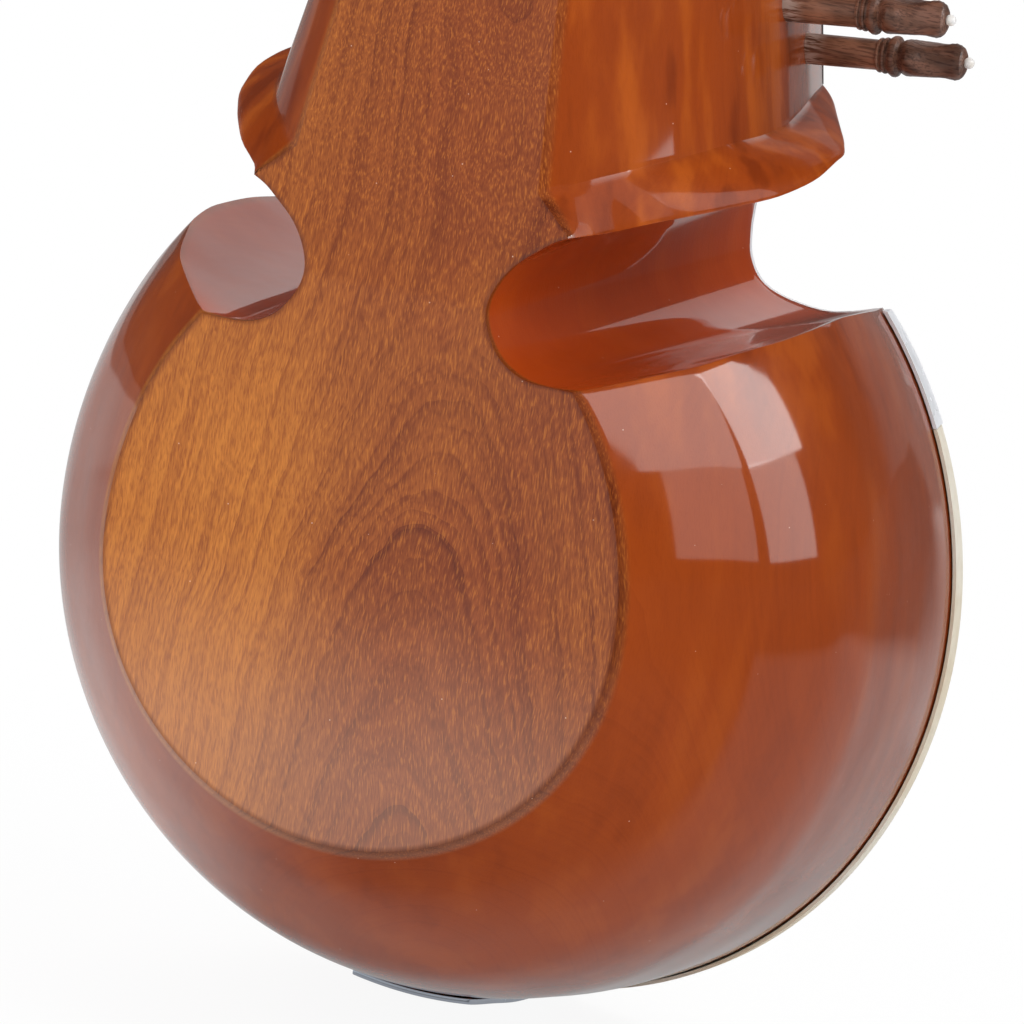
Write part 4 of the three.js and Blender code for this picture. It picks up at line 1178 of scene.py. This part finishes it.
def waist_plate():
    """The plate over the waist's front, turned back along both shoulders."""
    low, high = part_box("waist_plate")
    inner, outer = sizes().sheet_gap, sizes().sheet_gap + sizes().sheet_thickness
    highest = at_depth(SHOULDER_SHARES, 1.0) - 2 * SEAT_GAP
    side = [p for p in bowl_arc(1.0, outer, COVER_ARC_STEPS) if low.z + SEAT_GAP < p[1] < highest]
    cut = [p for p in spline_through(waist_line(1.0), COVER_CUT_STEPS)[2:] if p[1] < high.z - SEAT_GAP]
    first = (side[0][0] + (side[0][0] - side[1][0]) * 0.2, low.z)
    right = [first, *side, *cut, (cut[-1][0], high.z)]
    outline = right + [(-x, z) for x, z in reversed(right)]
    under = -sizes().body_depth - SEAT_GAP
    face = lofted("waist_cover", [[Vector((x, y, z)) for x, z in outline] for y in (low.y, under)])
    bevelled(face, COVER_EDGE, 2, 50)
    turned = []
    steps = [k / SHEET_STEPS for k in range(SHEET_STEPS + 1)]
    for way in (1, -1):
        loops = []
        stations = [(outer, between(low.y + TURN_FRONT, high.y, along)) for along in steps]
        stations += [(inner, between(high.y, under, along)) for along in steps]
        for grow, y in stations:
            share = min(1.0, -y / sizes().body_depth)
            shoulder = at_depth(SHOULDER_SHARES, share) - SEAT_GAP
            loops.append(side_run(share, grow, low.z, shoulder, y, way))
        turned.append(side_sheet("waist_turn", loops))
    only(face)
    for piece in turned:
        piece.select_set(True)
    bpy.ops.object.join()
    return flat_faced(face, 35)


def side_run(share, grow, low, high, y, way):
    """Places at even heights along the bowl's side between two heights."""
    middle = -sizes().rim_drop * share
    reach = at_depth(BOWL_HIGH_SHARES, share) + grow
    width = at_depth(BOWL_WIDTH_SHARES, share) + grow
    run = []
    for k in range(TURN_HEIGHTS):
        z = between(low, high, k / (TURN_HEIGHTS - 1))
        run.append(Vector((way * width * math.sqrt(max(0.0, 1 - ((z - middle) / reach) ** 2)), y, z)))
    return run


def side_sheet(name, runs):
    """A closed sheet whose cross-section goes round through the runs."""
    count, across = len(runs), len(runs[0])
    points = [p for run in runs for p in run]
    faces = []
    for j in range(count):
        k = (j + 1) % count
        for i in range(across - 1):
            faces.append((j * across + i, j * across + i + 1, k * across + i + 1, k * across + i))
    for i in (0, across - 1):
        half = count // 2
        for j in range(half):
            a, b = j, count - 1 - j
            if b - a > 2:
                faces.append((a * across + i, (a + 1) * across + i, (b - 1) * across + i, b * across + i))
    return faces_out(mesh_piece(name, points, faces))


def string_holder():
    """The metal strap that hugs the bowl's foot and is turned up over the rim."""
    low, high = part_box("tailpiece")
    inner_front = low.y + HOLDER_THICK
    ends = [
        between(high.y, inner_front, k / HOLDER_LENGTH_STEPS) for k in range(HOLDER_LENGTH_STEPS + 1)
    ]

    def grow_at(y):
        return between(*HOLDER_GAPS, smooth_step(-y, *HOLDER_LIFT_DEPTHS))

    def foot(x, y, grow):
        share = min(1.0, -y / sizes().body_depth)
        reach = at_depth(BOWL_LOW_SHARES, share) + grow
        width = at_depth(BOWL_WIDTH_SHARES, share) + grow
        return -sizes().rim_drop * share - reach * math.sqrt(1 - (x / width) ** 2)

    loops = []
    for c in range(HOLDER_COLUMNS):
        x = between(low.x, high.x, c / (HOLDER_COLUMNS - 1))
        rise = min(1.0, (high.x - abs(x)) / HOLDER_THICK)
        top = high.z - HOLDER_THICK * (1 - rise)
        loop = [Vector((x, y, foot(x, y, grow_at(y)))) for y in ends]
        corner = foot(x, inner_front, grow_at(inner_front))
        for k in range(1, HOLDER_UPRIGHT_STEPS + 1):
            loop.append(Vector((x, inner_front, between(corner, top, k / HOLDER_UPRIGHT_STEPS))))
        loop += [Vector((x, low.y, between(top, corner, k / 2))) for k in range(3)]
        for k in range(1, HOLDER_BEND_STEPS + 1):
            angle = math.pi / 2 * k / HOLDER_BEND_STEPS
            y = inner_front - HOLDER_THICK * math.cos(angle)
            loop.append(Vector((x, y, corner - HOLDER_THIN_SHARE * HOLDER_THICK * math.sin(angle))))
        for y in reversed(ends[:-1]):
            share = between(1.0, HOLDER_THIN_SHARE, smooth_step(-y, *HOLDER_THIN_DEPTHS))
            loop.append(Vector((x, y, foot(x, y, grow_at(y)) - share * HOLDER_THICK)))
        loops.append(loop)
    return smoothed(bevelled(lofted("string_holder", loops), 0.4 * MILLIMETRE, 2, 50), 35)


def rim_line_at(share, grow, top, steps=96):
    arc = bowl_arc(share, grow, steps)
    below = [i for i, p in enumerate(arc) if p[1] <= top][-1]
    ahead = arc[min(below + 1, len(arc) - 1)]
    part = (top - arc[below][1]) / (ahead[1] - arc[below][1]) if below < len(arc) - 1 else 0.0
    end = (between(arc[below][0], ahead[0], part), top)
    corners = arc[: below + 1] + [end]
    lengths = [0.0]
    for a, b in zip(corners, corners[1:]):
        lengths.append(lengths[-1] + math.dist(a, b))
    right = []
    for k in range(steps + 1):
        wanted = lengths[-1] * k / steps
        i = 0
        while i < len(lengths) - 2 and lengths[i + 1] < wanted:
            i += 1
        run = lengths[i + 1] - lengths[i]
        part = (wanted - lengths[i]) / run if run else 0.0
        right.append(tuple(between(a, b, part) for a, b in zip(corners[i], corners[i + 1])))
    left = [(-x, z) for x, z in reversed(right[1:])]
    return left + right


# Operators, one for each group of pieces.
class SAROD_OT_finishes(bpy.types.Operator):
    """Makes the materials"""

    bl_idname = "sarod.finishes"
    bl_label = "Finishes"

    def execute(self, context):
        make_materials()
        return {"FINISHED"}


class SAROD_OT_carved_body(bpy.types.Operator):
    """Carves bowl, waist, lips and neck from one block"""

    bl_idname = "sarod.carved_body"
    bl_label = "Carved body"

    def execute(self, context):
        dressed(carved_block(), "body_lacquer", nodes=("body",))
        return {"FINISHED"}


class SAROD_OT_head(bpy.types.Operator):
    """Makes the head with its peg box"""

    bl_idname = "sarod.head"
    bl_label = "Head"

    def execute(self, context):
        dressed(head_block(), "head_lacquer", nodes=("head",))
        return {"FINISHED"}


class SAROD_OT_pegs(bpy.types.Operator):
    """Turns and carves the pegs and sets a bead on each"""

    bl_idname = "sarod.pegs"
    bl_label = "Pegs"

    def execute(self, context):
        templates = {}
        for name in sorted(JOINTS):
            kind = name.rsplit("_", 1)[0]
            inner = shank_length(name)
            radius, out_length = PEG_SIZES[kind]
            key = (kind, round(inner, 4))
            if key not in templates:
                templates[key] = (
                    turned_peg("peg_template", radius, out_length, inner),
                    peg_bead("bead_template", radius, out_length),
                )
            peg, bead = templates[key]
            place = peg_matrix(name)
            dressed(placed_copy(peg, name + "_turned", place), "peg_finish", name, (name,))
            dressed(placed_copy(bead, name + "_bead", place), "bead_white", name)
        for peg, bead in templates.values():
            bpy.data.objects.remove(peg)
            bpy.data.objects.remove(bead)
        return {"FINISHED"}


class SAROD_OT_strings(bpy.types.Operator):
    """Stretches the strings and winds them on the main pegs"""

    bl_idname = "sarod.strings"
    bl_label = "Strings"

    def execute(self, context):
        wires = [n for n in frame["nodes"] if "_string_" in n]
        for name in wires:
            radius = THIN_WIRE if name.startswith("tarab") else THICK_WIRE
            route = route_of(name)
            dressed(tube(name + "_wire", route, radius), "string_wire", nodes=(name,))
            if not name.startswith("main"):
                continue
            end = route[-1]
            main_pegs = [n for n in JOINTS if n.startswith("main")]
            peg = min(main_pegs, key=lambda n: abs(JOINTS[n]["pos_m"][2] - end.z))
            coil = tube(name + "_winding", winding(peg, end, radius, sizes().winding_turns), radius, 1)
            dressed(coil, "string_wire", peg)
        return {"FINISHED"}


class SAROD_OT_front(bpy.types.Operator):
    """Lays the skin, the waist plate and the fingerboard on the front"""

    bl_idname = "sarod.front"
    bl_label = "Skin and plates"

    def execute(self, context):
        dressed(stretched_skin(), "hide_finish", nodes=("skin",))
        dressed(waist_plate(), "plate_finish", nodes=("waist_plate",))
        board = flat_faced(bevelled(copy_of_node("finger_plate", "fingerboard"), 0.3 * MILLIMETRE), 30)
        dressed(board, "board_chrome", nodes=("fingerboard",))
        cover = copy_of_node("neck_lid", "neck_cover")
        dressed(cover, "lid_stain", nodes=("neck_cover",))
        return {"FINISHED"}


class SAROD_OT_fittings(bpy.types.Operator):
    """Makes the bridge, nut, posts and string holder"""

    bl_idname = "sarod.fittings"
    bl_label = "Fittings"

    def execute(self, context):
        for name, cad, width in (("string_bridge", "bridge", 0.6), ("string_nut", "nut", 0.5)):
            piece = flat_faced(bevelled(copy_of_node(name, cad), width * MILLIMETRE, 3), 30)
            dressed(piece, "bridge_horn", nodes=(cad,))
        for number in (1, 2):
            cad = f"chikari_post_{number}"
            piece = smoothed(bevelled(copy_of_node(f"side_post_{number}", cad), 0.3 * MILLIMETRE, 2), 40)
            dressed(piece, "bridge_horn", nodes=(cad,))
        dressed(string_holder(), "holder_steel", nodes=("tailpiece",))
        return {"FINISHED"}


# Stage.
LAMP_MIDDLE = Vector((0, -0.09, 0.05))
# Each lamp's name, azimuth, elevation, distance, width, height and radiance. Azimuth 0 lies behind the
# object and grows towards +X. The first lamps only show in the gloss, and the others only light.
GLOSS_LAMPS = (
    ("window_low_near", -77.3, 9.5, 0.56, 0.15, 0.17, 1.4),
    ("window_low_far", -97.7, 9.5, 0.54, 0.16, 0.17, 2.6),
    ("window_high_near", -80.5, 33.5, 2.0, 0.69, 0.9, 2.8),
    ("window_high_far", -105, 33, 2.0, 0.73, 0.88, 6.0),
    ("front_box", 175, 32, 2.2, 1.5, 1.1, 0.65),
)
FILL_LAMPS = (
    ("window_light", -68, 38, 2.2, 1.3, 1.3, 5.0),
    ("back_light", 30, 35, 2.4, 1.6, 1.4, 3.6),
    ("front_light", 165, 38, 2.4, 1.6, 1.4, 4.0),
)
FLOOR_SIZE = 60
FLOOR_GAP = 0.0005
FLOOR_IN_GLOSS = 0.66
DARK_FLOOR_SHARE = 0.12
LIGHT_SIDE_IN_GLOSS = 0.42
DARK_SIDE_IN_GLOSS = 0.05
FAR_WALL_IN_GLOSS = 0.186
AMBIENT = 0.5
CAMERA_PLACE = (-0.64058, 1.48549, 0.38213)
CAMERA_RIGHT = Vector((-0.90944, -0.39415, 0.13251))
CAMERA_UP = Vector((0.20441, -0.14622, 0.96790))
CAMERA_LENS = 192.6


def add_lamp(name, azimuth, elevation, distance, width, height, radiance, mirrored):
    """A soft box round the object's middle, for the gloss or for the light."""
    turn, rise = math.radians(azimuth), math.radians(elevation)
    away = Vector((math.sin(turn) * math.cos(rise), math.cos(turn) * math.cos(rise), math.sin(rise)))
    data = bpy.data.lights.new(name, "AREA")
    data.shape = "RECTANGLE"
    data.size, data.size_y = width, height
    data.energy = radiance * math.pi * width * height
    lamp = bpy.data.objects.new(name, data)
    lamp.location = LAMP_MIDDLE + away * distance
    lamp.rotation_euler = away.to_track_quat("Z", "Y").to_euler()
    lamp.visible_glossy = mirrored
    lamp.visible_diffuse = not mirrored
    bpy.context.scene.collection.objects.link(lamp)


def make_lamps():
    """A window of four panes at the side and a box in front for the gloss, and broad fills."""
    for lamp in GLOSS_LAMPS:
        add_lamp(*lamp, mirrored=True)
    for lamp in FILL_LAMPS:
        add_lamp(*lamp, mirrored=False)


def ray_masks(tree):
    """Masks of the camera's rays, of mirrored rays, and of both."""
    rays = node(tree, "LightPath").outputs
    mirrored = higher(tree, rays["Is Glossy Ray"], rays["Is Transmission Ray"])
    return rays["Is Camera Ray"], mirrored, higher(tree, rays["Is Camera Ray"], mirrored)


def floor_gloss(tree, place, reach):
    """How bright the floor is in the gloss: open on one side, with a strip ahead and a patch close by."""
    x, y, _ = parts_of(tree, place)
    near = mapped(tree, reach, 0.3, 0.8, 1.4, 1.0)
    far_side = times(tree, mapped(tree, x, 0.9, 1.7, 0.0, 0.85), mapped(tree, y, 0.3, -0.2))
    open_side = times(tree, mapped(tree, x, -0.02, 0.16, 0.03, 0.84), calc(tree, "SUBTRACT", near, far_side))
    close = times(tree, mapped(tree, y, 0.0, -0.05), mapped(tree, x, -1.05, -0.75, 0.0, 0.6))
    close = times(tree, close, mapped(tree, y, -1.0, -0.7))
    slant = calc(tree, "SUBTRACT", x, times(tree, y, 0.14))
    ahead = times(tree, mapped(tree, slant, -0.2, -0.08), mapped(tree, y, -0.3, -0.6, 0.0, 0.9))
    ahead = times(tree, ahead, mapped(tree, y, -2.8, -2.2, 0.35, 1.0))
    bright = higher(tree, higher(tree, open_side, higher(tree, close, ahead)), DARK_FLOOR_SHARE)
    return times(tree, bright, FLOOR_IN_GLOSS)


def make_floor():
    """A white floor that keeps a soft shadow near the object."""
    nothing_selected()
    bpy.ops.mesh.primitive_plane_add(size=FLOOR_SIZE, location=(0, 0, CAD_LOW.z - FLOOR_GAP))
    floor = settle(bpy.context.object)
    floor.name = "studio_floor"
    material = bpy.data.materials.new("studio_floor")
    material.use_nodes = True
    tree = material.node_tree
    tree.nodes.clear()
    place = node(tree, "TexCoord").outputs["Object"]
    reach = node(tree, "VectorMath", {0: place}, operation="LENGTH").outputs["Value"]
    camera, mirrored, seen = ray_masks(tree)
    strength = plus(tree, camera, times(tree, mirrored, floor_gloss(tree, place, reach)))
    matt = node(tree, "BsdfDiffuse", {"Color": (0.88, 0.88, 0.88)}).outputs[0]
    glow = node(tree, "Emission", {"Color": (1, 1, 1), "Strength": strength}).outputs[0]
    share = times(tree, seen, mapped(tree, reach, 0.25, 0.8, 0.92, 1.0))
    mix = node(tree, "MixShader", {0: share, 1: matt, 2: glow}).outputs[0]
    node(tree, "OutputMaterial", {"Surface": mix})
    floor.data.materials.append(material)


def facing(tree, azimuth):
    """How far a direction turns to an azimuth, from -1 to 1."""
    turn = math.radians(azimuth)
    inputs = {0: node(tree, "TexCoord").outputs["Generated"], 1: (math.sin(turn), math.cos(turn), 0)}
    return node(tree, "VectorMath", inputs, operation="DOT_PRODUCT").outputs["Value"]


def make_world():
    """A pale room, white to the camera, with a lighter and a darker side in the gloss."""
    world = bpy.data.worlds.new("studio")
    bpy.context.scene.world = world
    world.use_nodes = True
    tree = world.node_tree
    tree.nodes.clear()
    camera, mirrored, seen = ray_masks(tree)
    light_side = mapped(tree, facing(tree, 40), 0.3, 0.72, DARK_SIDE_IN_GLOSS, LIGHT_SIDE_IN_GLOSS)
    far_wall = mapped(tree, facing(tree, 180), 0.93, 0.985, 0.0, FAR_WALL_IN_GLOSS)
    strength = plus(tree, camera, times(tree, mirrored, higher(tree, light_side, far_wall)))
    around = node(tree, "Background", {"Color": (0.94, 0.96, 1.0), "Strength": AMBIENT}).outputs[0]
    shown = node(tree, "Background", {"Color": (1, 1, 1), "Strength": strength}).outputs[0]
    mix = node(tree, "MixShader", {0: seen, 1: around, 2: shown}).outputs[0]
    node(tree, "OutputWorld", {"Surface": mix})


def make_camera():
    """The camera at the photograph's angle."""
    data = bpy.data.cameras.new("photo_camera")
    camera = bpy.data.objects.new("photo_camera", data)
    data.sensor_fit = "HORIZONTAL"
    data.sensor_width = 36
    data.lens = CAMERA_LENS
    data.clip_end = 50
    ahead = CAMERA_RIGHT.cross(CAMERA_UP).normalized() * -1
    turn = Matrix((CAMERA_RIGHT, CAMERA_UP, -ahead)).transposed().to_4x4()
    camera.matrix_world = Matrix.Translation(CAMERA_PLACE) @ turn
    bpy.context.scene.collection.objects.link(camera)
    bpy.context.scene.camera = camera


class SAROD_OT_stage(bpy.types.Operator):
    """Sets the floor, the lamps, the world and the camera"""

    bl_idname = "sarod.stage"
    bl_label = "Stage"

    def execute(self, context):
        make_floor()
        make_lamps()
        make_world()
        make_camera()
        context.scene.view_settings.view_transform = "Standard"
        return {"FINISHED"}


class SAROD_PT_panel(bpy.types.Panel):
    """Lists the groups of pieces"""

    bl_label = "Sarod"
    bl_idname = "SAROD_PT_panel"
    bl_space_type = "VIEW_3D"
    bl_region_type = "UI"
    bl_category = "Sarod"

    def draw(self, context):
        for operator in OPERATORS:
            self.layout.operator(operator.bl_idname)
        for name in SarodSizes.__annotations__:
            self.layout.prop(context.scene.sarod_sizes, name)
        for name in SarodFinish.__annotations__:
            self.layout.prop(context.scene.sarod_finish, name)


OPERATORS = (
    SAROD_OT_finishes,
    SAROD_OT_carved_body,
    SAROD_OT_head,
    SAROD_OT_pegs,
    SAROD_OT_strings,
    SAROD_OT_front,
    SAROD_OT_fittings,
    SAROD_OT_stage,
)
CLASSES = (SarodSizes, SarodFinish, *OPERATORS, SAROD_PT_panel)


def register():
    for each in CLASSES:
        bpy.utils.register_class(each)
    bpy.types.Scene.sarod_sizes = PointerProperty(type=SarodSizes)
    bpy.types.Scene.sarod_finish = PointerProperty(type=SarodFinish)


def unregister():
    del bpy.types.Scene.sarod_finish
    del bpy.types.Scene.sarod_sizes
    for each in reversed(CLASSES):
        bpy.utils.unregister_class(each)


def main():
    register()
    nothing_selected()
    bpy.ops.sarod.finishes()
    bpy.ops.sarod.carved_body()
    bpy.ops.sarod.head()
    bpy.ops.sarod.pegs()
    bpy.ops.sarod.strings()
    bpy.ops.sarod.front()
    bpy.ops.sarod.fittings()
    bpy.ops.sarod.stage()


if __name__ == "__main__":
    main()
